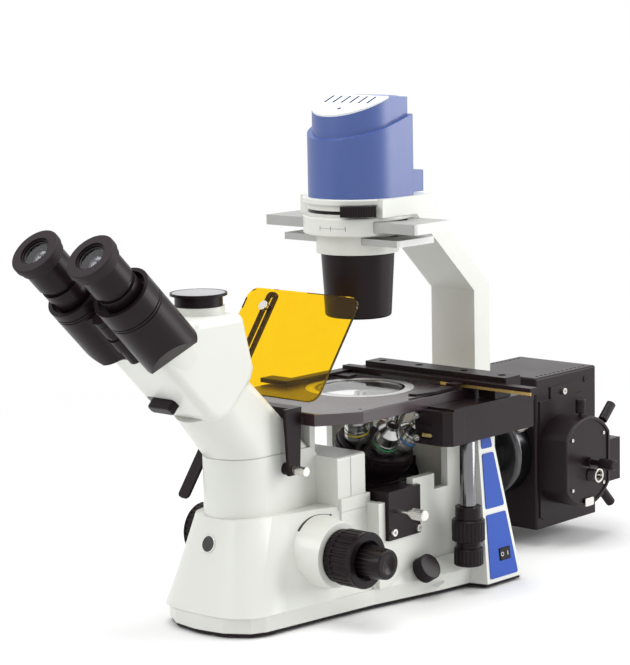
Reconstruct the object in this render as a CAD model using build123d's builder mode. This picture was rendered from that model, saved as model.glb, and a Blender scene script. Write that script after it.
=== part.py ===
from build123d import *
import math
import os

os.makedirs("parts", exist_ok=True)

# Frame: X to the user's right, Y to the back, Z up, origin on the optical axis at bench level

# Fits
fit = 0.05
run = 0.3
slip = 0.2

# Base casting
feet_height = 2.0
feet_radius = 11.0
plate_thickness = 3.0
plate_inset = 1.5
plinth_top = 20.0
ledge_top = 35.0
nose_front = -240.0
shoulder_z = 106.0
shoulder_nose = -212.0
shoulder_half = 40.0
tower_half = 34.0
tower_centre = -177.0
tower_rear = -112.0
tower_back = -60.0
panel_half = 62.0
panel_front = -104.0
panel_top = 113.0
panel_face = 64.5
panel_seam = 100.0
cover_front = -106.0
cover_back = -66.0
cover_top = 153.0
cover_seam = -87.0
post_half = 32.6
post_back = -104.7
seam_z = 162.0
casting_wall = 6.0
wall_half = 80.0
wall_thickness = 8.0
wall_low_z = 104.0
wall_high_z = 120.0
wall_post_z = 150.0
rear_front = 62.0
rear_top = 150.0
rear_half = 57.0
pillar_top = 153.0

# Stage
stage_z = 200.0
stage_thickness = 12.0
stage_half = 87.0
stage_front = -135.0
stage_back = 115.0
stage_hole = 50.0
insert_radius = 54.0
insert_thickness = 2.5
glass_thickness = 1.2

# Column, arm and transmitted light
column_front = 149.0
column_back = 178.0
column_half = 28.4
bend_z = 283.0
flange_bottom = 386.7
flange_top = 392.5
flange_radius = 53.5
neck_radius = 49.0
upper_ring_bottom = 356.6
upper_ring_top = 374.4
skirt_front = -24.0
skirt_back = 54.4
lower_ring_radius = 41.0
lower_ring_bottom = 337.0
barrel_top_radius = 36.5
barrel_low_radius = 32.7
barrel_bottom = 272.5
light_bore = 20.0
filter_slide_z = 360.6
filter_slide_height = 10.0
filter_slide_half = 28.0
phase_slide_z = 347.3
phase_slide_height = 6.6
phase_slide_half = 28.0
iris_z = 377.6
iris_height = 3.4
housing_radius = 48.0
housing_upper_radius = 43.0
housing_wall = 4.0
lamp_chamber = 58.0

# Nosepiece
nose_tilt = 21.0
seat_radius = 21.0
seat_z = 154.0
disc_radius = 40.0
disc_height = 14.0
objective_count = 5
objective_lengths = (41.0, 38.0, 41.0, 34.0, 40.0)
objective_radius = 12.4
shoulder_gap = 5.6
nose_bearing = 9.0

# Focus drive
focus_y = -125.0
focus_z = 65.0
boss_face = 80.0
coarse_inner = 88.3
coarse_outer = 115.0
left_coarse_outer = 103.0
left_fine_outer = 108.0
coarse_radius = 27.0
fine_outer = 140.0
fine_radius = 14.2
fine_root_radius = 17.4
tension_radius = 25.5
coarse_shaft = 8.0
fine_shaft = 4.0

# Stage drive
drive_left = stage_half - 10
drive_right = stage_half + 32.5
drive_front = -7.5
drive_back = 129.0
drive_bottom = 154.0
drive_top = 188.0
knob_x = stage_half + 21.9
knob_y = 34.0
knob_shaft = 7.0

# Viewing head
tube_half = 35.6
eye_y = -391.3
eye_z = 374.1
tube_swing = 37.5
drum_radius = 28.0
drum_top = 50.0
drum_end = 133.0
left_drum_radius = 26.0
left_drum_top = 61.0
tube_bore = 15.0
lens_rim = 14.8
cut_chord = 13.0
cut_aim = (0.8, 0.6)
cut_slope = 55.0
head_face = 133.6
head_half = 36.0
hinge_radius = 8.0
port_y = -224.7
port_rim_z = 321.2

# Fluorescence lamp
lamp_half = 51.5
lamp_front = 222.8
lamp_back = 331.4
lamp_bottom = 19.3
lamp_top = 182.4
lamp_wall = 3.0
beam_z = 100.0
beam_radius = 24.0
module_y = 268.6
module_z = 90.2
module_radius = 48.5
module_flat = 40.0
module_face = 86.5

# Rocker switch on the right pillar
switch_across = 30.0
switch_up = 26.0
rocker_width = 17.0
rocker_height = 12.0
rocker_depth = 9.0

# Brightness knob on the ledge
ledge_foot = 92.0
ledge_head = wall_half + 3
ledge_normal = Vector(ledge_top - plinth_top, 0, ledge_foot - ledge_head)
knob_foot = Vector(87.2, -12, 28.3)

# Filter module
cube_left = 58.0
cube_right = 84.0
cube_front = -58.0
cube_back = -9.0
cube_bottom = 66.0
cube_top = 114.0

UP = (Align.CENTER, Align.CENTER, Align.MIN)


def save(builder, label):
    """Label a finished piece and write it under its node name."""
    builder.part.label = label
    export_step(builder.part, f"parts/{label}.step")


def switch_plane(side):
    """Outer face of a pillar: x along its foot to the back, y up the face for side 1."""
    low = Vector(side * 116, 55, feet_height + plate_thickness)
    back = Vector(side * 117.5, 108, feet_height + plate_thickness)
    high = Vector(side * 97, 65, pillar_top)
    along = back - low
    return Plane(origin=low, x_dir=along, z_dir=along.cross(high - low) * side)


def disc(radius, start, end, mode=Mode.ADD):
    """A round stretch of the active plane's axis from start to end."""
    with Locations((0, 0, start)):
        Cylinder(radius, end - start, align=UP, mode=mode)


def cone(low, high, start, end, mode=Mode.ADD):
    """A tapered round stretch of the active plane's axis."""
    with Locations((0, 0, start)):
        Cone(low, high, end - start, align=UP, mode=mode)


def block(x0, x1, y0, y1, z0, z1, mode=Mode.ADD):
    """A straight-sided block between two corners."""
    with Locations(((x0 + x1) / 2, (y0 + y1) / 2, (z0 + z1) / 2)):
        Box(x1 - x0, y1 - y0, z1 - z0, mode=mode)


def flutes(radius, depth, count, start, end):
    """Grip flutes cut along the rim of a knob."""
    with PolarLocations(radius, count):
        with Locations((0, 0, start)):
            Cylinder(depth, end - start, align=UP, mode=Mode.SUBTRACT)


# Base casting: plinth, sloping nose, tower under the head, side walls and rear block
front_points = [(0, nose_front), (31, -235), (53, -221), (60, -207), (63, -183), (69, -129), (76, -71),
                (ledge_foot, 10), (97, 50)]
back_points = [(84, 132), (45, 160), (30, column_back), (0, column_back)]
plinth_points = front_points + [(100, 60), (98, 108)] + back_points
foot_points = front_points + [(116, 55), (117.5, 108)] + back_points


def mirrored(points):
    """Close a half outline with its own mirror image across the middle."""
    return points + [(-x, y) for x, y in reversed(points) if x > 0]


with BuildPart() as main_body:
    with BuildSketch(Plane.XY.offset(feet_height + plate_thickness)):
        with BuildLine():
            Polyline(*mirrored(plinth_points), close=True)
        make_face()
        fillet(vertices().group_by(Axis.Y)[0], 60)
    extrude(amount=plinth_top - feet_height - plate_thickness)
    with BuildSketch(Plane.XY.offset(plinth_top)) as low_nose:
        with BuildLine():
            Spline((-63, -183), (0, nose_front), (63, -183), tangents=((-0.1, -1), (-0.1, 1)))
            Polyline((63, -183), (69, -129), (74, tower_back), (-74, tower_back), (-69, -129), (-63, -183))
        make_face()
    with BuildSketch(Plane.XY.offset(shoulder_z)) as high_nose:
        with BuildLine():
            Spline((-shoulder_half, -175), (0, shoulder_nose), (shoulder_half, -175), tangents=((0, -1), (0, 1)))
            Polyline((shoulder_half, -175), (52, -129), (panel_half, panel_front), (panel_half, tower_back),
                     (-panel_half, tower_back), (-panel_half, panel_front), (-52, -129), (-shoulder_half, -175))
        make_face()
    loft()
    with BuildSketch(Plane.XY.offset(plinth_top)):
        with BuildLine():
            Polyline((-76, -71), (76, -71), (ledge_foot, 10), (97, 50), (-97, 50), (-ledge_foot, 10), close=True)
        make_face()
    with BuildSketch(Plane.XY.offset(ledge_top)):
        with BuildLine():
            Polyline((-72, -71), (72, -71), (ledge_head, 10), (wall_half + 5, 50), (-wall_half - 5, 50),
                     (-ledge_head, 10), close=True)
        make_face()
    loft()
    with BuildSketch(Plane.XY.offset(shoulder_z)):
        with Locations((0, tower_centre)):
            Circle(tower_half)
        with Locations((0, (tower_centre + tower_rear) / 2)):
            Rectangle(2 * tower_half, tower_rear - tower_centre)
    extrude(amount=seam_z - shoulder_z)
    with BuildSketch(Plane.YZ.offset(-tower_half)):
        with BuildLine():
            Polyline((tower_rear, shoulder_z), (tower_back, shoulder_z), (tower_back, shoulder_z + 6),
                     (tower_rear, seam_z), close=True)
        make_face()
    extrude(amount=2 * tower_half)
    block(-panel_half, panel_half, cover_front, cover_back, shoulder_z - 8, cover_top)
    cover_rims = edges().filter_by(lambda e: abs(e.center().Z - cover_top) < 0.1)
    fillet(cover_rims.filter_by(lambda e: abs(e.center().X) > panel_half - 1), 3)
    block(-post_half, post_half, tower_rear, post_back, cover_top - 5, stage_z - stage_thickness)
    for side in (1, -1):
        block(side * panel_half - 0.6, side * panel_half + 0.6, cover_seam - 0.5, cover_seam + 0.5, panel_top,
              cover_top, mode=Mode.SUBTRACT)
        block(*sorted((side * 40, side * panel_face)), panel_front, tower_back - 2, shoulder_z - 40, panel_top)
        block(*sorted((side * (panel_face - 0.5), side * (panel_face + 5))), panel_front, tower_back - 2,
              panel_seam - 0.4, panel_seam + 0.4, mode=Mode.SUBTRACT)
    block(-wall_half, wall_half, tower_back - 8, rear_front + 2, plinth_top, wall_low_z)
    block(-wall_half, wall_half, -16, 17, wall_low_z, wall_high_z)
    block(-wall_half, wall_half, 38, rear_front + 2, wall_low_z, wall_post_z)
    with BuildSketch(Plane.XY.offset(plinth_top)):
        with BuildLine():
            Polyline((-wall_half, rear_front), (wall_half, rear_front), (62, 110), (45, 160), (30, column_back),
                     (-30, column_back), (-45, 160), (-62, 110), close=True)
        make_face()
    extrude(amount=rear_top - plinth_top)
    block(-rear_half, rear_half, rear_front, 110, rear_top - 1, stage_z - stage_thickness)
    for side in (1, -1):
        with BuildSketch(Plane.XY.offset(feet_height + plate_thickness)):
            with BuildLine():
                Polyline((side * 70, 50), (side * 97, 50), (side * 116, 55), (side * 117.5, 108),
                         (side * 84, 132), (side * 60, 112), close=True)
            make_face()
        with BuildSketch(Plane.XY.offset(pillar_top)):
            with BuildLine():
                Polyline((side * 70, 62), (side * 80, 62), (side * 97, 65), (side * 97.6226, 87),
                         (side * 84, 92), (side * 60, 90), close=True)
            make_face()
        loft(ruled=True)
        with BuildSketch(Plane.YZ.offset(side * 40)):
            with Locations((focus_y, focus_z)):
                Circle(38)
        with BuildSketch(Plane.YZ.offset(side * boss_face)):
            with Locations((focus_y, focus_z)):
                Circle(31)
        loft()
    block(-wall_half + wall_thickness, wall_half - wall_thickness, tower_back, rear_front,
          ledge_top, wall_post_z + 1, mode=Mode.SUBTRACT)
    with BuildSketch(Plane.XY.offset(feet_height + plate_thickness)):
        with BuildLine():
            Spline((-52, -183), (0, nose_front + 14), (52, -183), tangents=((-0.1, -1), (-0.1, 1)))
            Polyline((52, -183), (60, -129), (64, -74), (-64, -74), (-60, -129), (-52, -183))
        make_face()
    with BuildSketch(Plane.XY.offset(shoulder_z - casting_wall)):
        with BuildLine():
            Spline((-32, -175), (0, shoulder_nose + 10), (32, -175), tangents=((0, -1), (0, 1)))
            Polyline((32, -175), (34, -129), (50, -74), (-50, -74), (-34, -129), (-32, -175))
        make_face()
    loft(mode=Mode.SUBTRACT)
    block(-64, 64, tower_back, rear_front, feet_height + plate_thickness, ledge_top - 5, mode=Mode.SUBTRACT)
    block(-44, 44, rear_front + 8, 150, feet_height + plate_thickness, rear_top - 8, mode=Mode.SUBTRACT)
    with BuildSketch(Plane.XY.offset(shoulder_z - casting_wall)):
        with Locations((0, tower_centre)):
            Circle(tower_half - casting_wall)
        with Locations((0, (tower_centre + tower_rear - casting_wall) / 2)):
            Rectangle(2 * (tower_half - casting_wall), tower_rear - casting_wall - tower_centre)
    extrude(amount=seam_z - shoulder_z + casting_wall, mode=Mode.SUBTRACT)
    with BuildSketch(Plane.XZ.offset(-column_back)):
        with Locations((0, beam_z)):
            Circle(beam_radius + fit)
    extrude(amount=column_back - rear_front + 1, mode=Mode.SUBTRACT)
    with BuildSketch(Plane.YZ.offset(-boss_face)):
        with Locations((focus_y, focus_z)):
            Circle(coarse_shaft + fit)
    extrude(amount=2 * boss_face, mode=Mode.SUBTRACT)
    block(wall_half - wall_thickness - 1, wall_half + 1, cube_front - slip, cube_back + slip, cube_bottom - slip,
          cube_top + slip, mode=Mode.SUBTRACT)
    with BuildSketch(Plane(knob_foot, x_dir=(0, 1, 0), z_dir=ledge_normal)):
        Circle(3 + fit)
    extrude(amount=6, both=True, mode=Mode.SUBTRACT)
    with BuildSketch(switch_plane(1)):
        with Locations((switch_across, switch_up)):
            Rectangle(rocker_width + 2 * run, rocker_height + 2 * run)
    extrude(amount=-rocker_depth - 2, mode=Mode.SUBTRACT)
    print("main_body", main_body.part.is_valid, len(main_body.solids()), main_body.part.volume / 1e6)
save(main_body, "main_body")

# Base plate and feet
with BuildPart() as bottom_plate:
    with BuildSketch(Plane.XY.offset(feet_height)):
        with BuildLine():
            Polyline(*mirrored(foot_points), close=True)
        make_face()
        fillet(vertices().group_by(Axis.Y)[0], 60)
        offset(amount=-plate_inset, mode=Mode.REPLACE)
    extrude(amount=plate_thickness)
save(bottom_plate, "bottom_plate")

with BuildPart() as feet:
    for x, y in ((46, -195), (-46, -195), (92, 82), (-92, 82), (0, 0)):
        with Locations((x, y, 0)):
            Cylinder(feet_radius, feet_height, align=UP)
save(feet, "feet")

# Printed circuits: power board on standoffs in the base, light source board in the blue housing
board_z = 12.0
led_z = flange_top + lamp_chamber - 8
with BuildPart() as circuit_boards:
    block(-38, 38, 76, 142, board_z, board_z + 1.6)
    block(-30, -8, 84, 112, board_z + 1.6, board_z + 24)
    block(6, 28, 88, 128, board_z + 1.6, board_z + 18)
    for x in (-33, 33):
        for y in (81, 137):
            with Locations((x, y, feet_height + plate_thickness)):
                Cylinder(3, board_z - feet_height - plate_thickness, align=UP)
    disc(30, led_z, led_z + 8)
    disc(6, led_z - 3, led_z)
save(circuit_boards, "circuit_boards")

# Column and arm in one casting, with the round flange over the condenser
with BuildPart() as column_arm:
    with BuildSketch(Plane.YZ.offset(-column_half)):
        with BuildLine():
            Polyline((column_front, rear_top), (column_front, bend_z), (skirt_back, upper_ring_top - 1),
                     (skirt_back, flange_bottom), (30, flange_bottom), (30, flange_top), (73.3, flange_top),
                     (column_back, bend_z + 8), (column_back, rear_top), close=True)
        make_face()
        fillet(vertices().filter_by(lambda v: abs(v.Y - bend_z) < 9), 3)
    extrude(amount=2 * column_half)
    fillet(edges().filter_by(Axis.Z).group_by(Axis.Y)[-1], 5)
    disc(flange_radius, flange_bottom, flange_top)
    fillet(edges().filter_by(GeomType.CIRCLE).filter_by(lambda e: abs(e.radius - flange_radius) < 0.1), 1.0)
    with BuildSketch(Plane.XY.offset(upper_ring_top)):
        with Locations((0, (skirt_front + skirt_back) / 2)):
            Rectangle(2 * flange_radius, skirt_back - skirt_front)
        Circle(neck_radius + run, mode=Mode.SUBTRACT)
    extrude(amount=flange_top - upper_ring_top - 1)
    block(-flange_radius, flange_radius, skirt_front, skirt_back, flange_bottom, flange_top)
    disc(light_bore, flange_bottom, flange_top, mode=Mode.SUBTRACT)
    print("arm", column_arm.part.is_valid, len(column_arm.solids()))
save(column_arm, "column_arm")

# White stack under the flange: neck with the diaphragm slot, and two rings with slide channels
with BuildPart() as slider_housing:
    disc(neck_radius, upper_ring_top, flange_bottom)
    disc(flange_radius, upper_ring_bottom, upper_ring_top)
    fillet(edges().filter_by(lambda e: abs(e.radius - flange_radius) < 0.1 if e.geom_type == GeomType.CIRCLE
                             else False), 1.2)
    disc(lower_ring_radius, lower_ring_bottom, upper_ring_bottom)
    disc(neck_radius + 1, iris_z, iris_z + iris_height, mode=Mode.SUBTRACT)
    disc(36, iris_z, iris_z + iris_height)
    disc(light_bore, lower_ring_bottom, flange_bottom, mode=Mode.SUBTRACT)
    block(-60, 60, -filter_slide_half - slip, filter_slide_half + slip, filter_slide_z - slip,
          filter_slide_z + filter_slide_height + slip, mode=Mode.SUBTRACT)
    block(-60, 60, -phase_slide_half - slip, phase_slide_half + slip, phase_slide_z - slip,
          phase_slide_z + phase_slide_height + slip, mode=Mode.SUBTRACT)
    print("housing", slider_housing.part.is_valid, len(slider_housing.solids()))
save(slider_housing, "slider_housing")

# Slides with light holes: centred hole, and one each side
slide_pitch = 45.0
with BuildPart() as filter_slide:
    block(-99, 98, -filter_slide_half, filter_slide_half, filter_slide_z, filter_slide_z + filter_slide_height)
    fillet(edges().filter_by(Axis.Z), 4)
    for x in (-slide_pitch, 0, slide_pitch):
        with Locations((x, 0, filter_slide_z)):
            Cylinder(16, filter_slide_height, align=UP, mode=Mode.SUBTRACT)
save(filter_slide, "filter_slide")

with BuildPart() as phase_slider:
    block(-74, 76, -phase_slide_half, phase_slide_half, phase_slide_z, phase_slide_z + phase_slide_height)
    fillet(edges().filter_by(Axis.Z), 3)
    for x in (-35, 0, 35):
        with Locations((x, 0, phase_slide_z)):
            Cylinder(13, phase_slide_height, align=UP, mode=Mode.SUBTRACT)
save(phase_slider, "phase_slider")

# Aperture diaphragm: thin ring in the neck slot with its ridged finger lever
lever_span = 34.0
lever_radius = 60.0
lever_height = 10.4
lever_bottom = upper_ring_top + 1.9
lever_angle = -48.0
with BuildPart() as aperture_lever:
    disc(neck_radius - 1, iris_z + slip, iris_z + iris_height - slip)
    with BuildSketch(Plane.XY.offset(lever_bottom)):
        Circle(lever_radius)
        Circle(flange_radius + 0.7, mode=Mode.SUBTRACT)
        with Locations(Rotation(0, 0, lever_angle)):
            with Locations((lever_radius, 0)):
                Rectangle(30, 2 * lever_radius * math.sin(math.radians(lever_span / 2)), mode=Mode.INTERSECT)
    extrude(amount=lever_height)
    with Locations(Rotation(0, 0, lever_angle)):
        with Locations((flange_radius - 1, 0, iris_z + iris_height / 2)):
            Box(12, 20, iris_height - 2 * slip)
    disc(36 + slip, iris_z - 5, iris_z + 8, mode=Mode.SUBTRACT)
    for step in range(-6, 7):
        with Locations(Rotation(0, 0, lever_angle + step * 2.4)):
            with Locations((lever_radius + 0.6, 0, lever_bottom + lever_height / 2)):
                Cylinder(0.9, lever_height + 2, mode=Mode.SUBTRACT)
    print("lever", aperture_lever.part.is_valid, len(aperture_lever.solids()))
save(aperture_lever, "aperture_lever")

# Condenser barrel and its lenses
with BuildPart() as condenser_barrel:
    cone(barrel_low_radius, barrel_top_radius, barrel_bottom, lower_ring_bottom)
    fillet(edges().group_by(Axis.Z)[0], 3)
    disc(light_bore, barrel_bottom, lower_ring_bottom, mode=Mode.SUBTRACT)
    disc(light_bore + 4, barrel_bottom, barrel_bottom + 10, mode=Mode.SUBTRACT)
save(condenser_barrel, "condenser_barrel")

# Blue lamp housing: rounded front, stepped top, low hump at the back
with BuildPart() as lamp_housing:
    with BuildSketch(Plane.XY.offset(flange_top)):
        Circle(housing_radius)
        with Locations((0, 15)):
            Rectangle(2 * housing_radius, 30)
    extrude(amount=110)
    with BuildSketch(Plane.YZ.offset(-60)):
        with BuildLine():
            Polyline((-60, flange_top), (-60, 446), (60, 481), (60, flange_top), close=True)
        make_face()
    extrude(amount=120, mode=Mode.INTERSECT)
    with BuildSketch(Plane.XY.offset(flange_top)) as upper_plan:
        Circle(housing_upper_radius)
        with Locations((0, 14)):
            Rectangle(2 * housing_upper_radius, 28)
    upper = extrude(upper_plan.sketch, amount=110, mode=Mode.PRIVATE)
    with BuildSketch(Plane.YZ.offset(-60)) as roof_line:
        with BuildLine():
            Polyline((-60, flange_top), (-60, 465.3), (0, 489), (60, 489), (60, flange_top), close=True)
        make_face()
    roof = extrude(roof_line.sketch, amount=120, mode=Mode.PRIVATE)
    add(upper & roof)
    block(-column_half + 0.4, column_half - 0.4, 29, 72, flange_top, 413.5)
    fillet(edges().filter_by(Axis.Z).group_by(Axis.Y)[-1], 4)
    disc(housing_upper_radius - housing_wall, flange_top, flange_top + lamp_chamber, mode=Mode.SUBTRACT)
    print("blue", lamp_housing.part.is_valid, len(lamp_housing.solids()))
save(lamp_housing, "lamp_housing")

# Pale vent plate on the sloping roof, with six slots and one small hole
slit_pitch = 10.9
with BuildPart() as housing_vent:
    plate_plan = extrude(upper_plan.sketch, amount=110, mode=Mode.PRIVATE)
    with BuildSketch(Plane.YZ.offset(-60)) as plate_line:
        with BuildLine():
            Polyline((-60, 465.3), (0, 489), (0, 491), (-60, 467.3), close=True)
        make_face()
    plate_slab = extrude(plate_line.sketch, amount=120, mode=Mode.PRIVATE)
    add(plate_plan & plate_slab)
    for step in range(6):
        block(step * slit_pitch - 27, step * slit_pitch - 24, -17, -2, 460, 495, mode=Mode.SUBTRACT)
    with Locations((4.4, -29, 478)):
        Cylinder(1.6, 20, mode=Mode.SUBTRACT)
save(housing_vent, "housing_vent")

# Stage plate with the specimen hole, chamfered front corners and a tapped hole each side
with BuildPart() as stage_plate:
    with BuildSketch(Plane.XY.offset(stage_z - stage_thickness)):
        with BuildLine():
            Polyline((-60, stage_front), (60, stage_front), (stage_half - 3, -101), (stage_half, -96),
                     (stage_half, stage_back), (-stage_half, stage_back), (-stage_half, -96),
                     (-stage_half + 3, -101), close=True)
        make_face()
        fillet(vertices().group_by(Axis.Y)[-1], 6)
    extrude(amount=stage_thickness)
    chamfer(edges().group_by(Axis.Z)[-1], 0.8)
    disc(stage_hole, stage_z - stage_thickness, stage_z, mode=Mode.SUBTRACT)
    disc(insert_radius + fit, stage_z - insert_thickness, stage_z, mode=Mode.SUBTRACT)
    for side in (1, -1):
        with Locations((side * (stage_half - 9), -90, stage_z - stage_thickness)):
            Cylinder(2, stage_thickness, align=UP, mode=Mode.SUBTRACT)
save(stage_plate, "stage_plate")

with BuildPart() as stage_insert:
    disc(insert_radius, stage_z - insert_thickness, stage_z)
    disc(insert_radius - 9, stage_z - glass_thickness, stage_z, mode=Mode.SUBTRACT)
    disc(insert_radius - 12, stage_z - insert_thickness, stage_z, mode=Mode.SUBTRACT)
save(stage_insert, "stage_insert")

with BuildPart() as insert_glass:
    disc(insert_radius - 9 - fit, stage_z - glass_thickness, stage_z)
save(insert_glass, "insert_glass")

# Stage drive box under the right edge of the stage
with BuildPart() as stage_drive_box:
    with BuildSketch(Plane.XY.offset(drive_bottom)):
        with BuildLine():
            Polyline((drive_left, drive_front), (drive_right - 8, drive_front), (drive_right, drive_front + 6),
                     (drive_right, drive_back), (drive_left, drive_back), close=True)
        make_face()
    extrude(amount=stage_z - stage_thickness - drive_bottom)
    block(stage_half + run, drive_right, drive_front + 8, drive_back, stage_z - stage_thickness,
          stage_z - stage_thickness + 2)
    block(drive_right - 1, drive_right + 1, drive_front + 24, drive_back, drive_bottom, drive_top - 6,
          mode=Mode.SUBTRACT)
    block(drive_left - 1, drive_left + 26, drive_front + 12, drive_back - 4, drive_bottom - 1,
          drive_bottom + 6, mode=Mode.SUBTRACT)
    with Locations((knob_x, knob_y, drive_bottom)):
        Cylinder(knob_shaft + fit, 20, align=UP, mode=Mode.SUBTRACT)
    for z in (162, 176):
        with Locations((drive_left + 12, drive_front, z)):
            Box(18, 3, 5, mode=Mode.SUBTRACT)
save(stage_drive_box, "stage_drive_box")

# Guide bar carried by a link on the drive box; it moves to and fro with the specimen
guide_front = 67.0
guide_back = 92.0
guide_bottom = 203.0
guide_top = 213.0
guide_left = -51.0
guide_right = drive_right + 11.5
link_left = stage_half + 10
link_bottom = 190.3
with BuildPart() as guide_bar:
    block(guide_left, guide_right, guide_front, guide_back, guide_bottom, guide_top)
    fillet(edges().filter_by(Axis.Z), 1.5)
    block(link_left, guide_right - 13, guide_front, guide_back, link_bottom, guide_bottom)
    for x in (guide_left + 14, guide_left + 62, guide_right - 62, guide_right - 14):
        with Locations((x, (guide_front + guide_back) / 2, guide_top)):
            CounterBoreHole(2.2, 4.2, 4, depth=8)
save(guide_bar, "guide_bar")

# Specimen slider in front of the bar, with its holder arms over the stage
slider_left = -72.0
slider_right = 170.0
slider_depth = 11.0
slider_bottom = 201.0
slider_top = 208.0
holder_top = 205.0
clamp_x = stage_half - 5
clamp_y = 48.0
with BuildPart() as specimen_holder:
    block(slider_left, slider_right, guide_front - run - slider_depth, guide_front - run, slider_bottom + 3,
          slider_top)
    block(slider_left, slider_right, guide_front - run - slider_depth + 1, guide_front - run, slider_bottom,
          slider_bottom + 3)
    block(slider_left, slider_left + 12, -42, guide_front - slider_depth + 4, slider_bottom, holder_top)
    block(slider_left - 24, slider_left + 12, -42, -24, slider_bottom, holder_top + 0.5)
    block(slider_left - 8, slider_left + 30, 30, 44, slider_bottom, slider_bottom + 2)
    block(clamp_x - 6, clamp_x + 6, clamp_y - 6, guide_front - slider_depth + 2, slider_bottom + 3, holder_top + 1)
    with Locations((clamp_x, clamp_y, slider_bottom)):
        Cylinder(2, 4, align=UP)
save(specimen_holder, "specimen_holder")

scale_front = guide_front - run - slider_depth
with BuildPart() as slider_scale:
    block(-20, slider_right, scale_front, scale_front + 1, slider_bottom, slider_bottom + 3)
    for step in range(36):
        block(step * 5 - 5.15, step * 5 - 4.85, scale_front - 0.2, scale_front + 0.2, slider_bottom,
              slider_bottom + (2.4 if step % 2 == 0 else 1.5), mode=Mode.SUBTRACT)
save(slider_scale, "slider_scale")

# Sprung finger that clamps the specimen from the right
with BuildPart() as holder_clamp:
    with BuildSketch(Plane.XY.offset(slider_bottom + slip)):
        with Locations((clamp_x, clamp_y)):
            Circle(6)
        with BuildLine():
            Polyline((clamp_x - 5, clamp_y), (clamp_x + 5, clamp_y), (clamp_x + 8, 10), (clamp_x + 2, -14),
                     (clamp_x - 6, -16), (clamp_x - 2, 10), close=True)
        make_face()
    extrude(amount=2.6)
    with Locations((clamp_x, clamp_y, slider_bottom)):
        Cylinder(2 + fit, 3, align=UP, mode=Mode.SUBTRACT)
save(holder_clamp, "holder_clamp")

# Coaxial stage knobs: outer tube with the upper knob, inner rod with the lower knob
upper_knob_bottom = 53.5
upper_knob_top = 75.1
lower_knob_bottom = 29.0
lower_knob_top = 46.6
stage_knob_place = Plane((knob_x, knob_y, 0))
with BuildPart(stage_knob_place) as stage_knob_upper:
    disc(knob_shaft, 87, drive_bottom + 20)
    disc(13, upper_knob_top, 88)
    disc(16.4, upper_knob_bottom, upper_knob_top)
    chamfer(edges().filter_by(lambda e: abs(e.radius - 16.4) < 0.1 if e.geom_type == GeomType.CIRCLE else False), 1)
    disc(12, upper_knob_bottom - 3, upper_knob_bottom)
    disc(3.5 + fit, upper_knob_bottom - 3, drive_bottom + 20, mode=Mode.SUBTRACT)
    flutes(17.2, 1.5, 24, upper_knob_bottom + 1, upper_knob_top - 2)
save(stage_knob_upper, "stage_knob_upper")

with BuildPart(stage_knob_place) as stage_knob_lower:
    disc(14.6, lower_knob_bottom, lower_knob_top)
    chamfer(edges().filter_by(lambda e: abs(e.radius - 14.6) < 0.1 if e.geom_type == GeomType.CIRCLE else False), 1)
    disc(12, lower_knob_top, upper_knob_bottom - 3 - run)
    flutes(15.4, 1.4, 22, lower_knob_bottom + 1, lower_knob_top - 2)
    disc(3.5, upper_knob_bottom - 3 - run, drive_bottom + 18)
save(stage_knob_lower, "stage_knob_lower")

# Filter module in the right side of the base, with its pull rod
module_rod_y = -45.5
module_rod_z = 94.0
with BuildPart() as filter_module:
    block(cube_left, cube_right, cube_front, cube_back, cube_bottom, cube_top)
    fillet(edges().filter_by(Axis.Z).group_by(Axis.X)[-1], 0.8)
    with BuildSketch(Plane.YZ.offset(cube_left)):
        with Locations((module_rod_y, module_rod_z)):
            Circle(2 + fit)
    extrude(amount=cube_right - cube_left, mode=Mode.SUBTRACT)
save(filter_module, "filter_module")

with BuildPart(Plane((0, module_rod_y, module_rod_z), x_dir=(0, 1, 0), z_dir=(1, 0, 0))) as module_rod:
    disc(2, cube_left - 4, 104)
    disc(3.6, 101, 104)
    disc(5.6, 104, 120)
    chamfer(edges().filter_by(lambda e: abs(e.radius - 5.6) < 0.1 if e.geom_type == GeomType.CIRCLE else False), 1)
    flutes(6.0, 0.7, 16, 106, 118)
save(module_rod, "module_rod")

# Nosepiece: tilted turret with five seats, its carriage and guide rail
tilt = math.radians(nose_tilt)
turret_origin = Vector(seat_radius * math.cos(tilt), 0, seat_z - seat_radius * math.sin(tilt))
turret_axis = Vector(math.sin(tilt), 0, math.cos(tilt))
turret_across = Vector(-math.cos(tilt), 0, math.sin(tilt))
turret_place = Plane(turret_origin, x_dir=turret_across, z_dir=turret_axis)
with BuildPart(turret_place) as revolver:
    disc(disc_radius - 1.5, -4, 0)
    disc(disc_radius, -10, -4)
    disc(disc_radius - 1, -disc_height, -10)
    fillet(edges().filter_by(
        lambda e: abs(e.radius - disc_radius + 1.5) < 0.1 and abs((e.center() - turret_origin).dot(turret_axis)) < 0.1
        if e.geom_type == GeomType.CIRCLE else False), 1)
    flutes(disc_radius + 0.4, 0.9, 90, -10, -4)
    disc(nose_bearing + fit, -disc_height, -3, mode=Mode.SUBTRACT)
    with PolarLocations(seat_radius, objective_count):
        with Locations(Rotation(0, nose_tilt, 0)):
            with Locations((0, 0, -9)):
                Cylinder(8, 14, align=UP, mode=Mode.SUBTRACT)
    print("revolver", revolver.part.is_valid, len(revolver.solids()))
save(revolver, "revolver")

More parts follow.
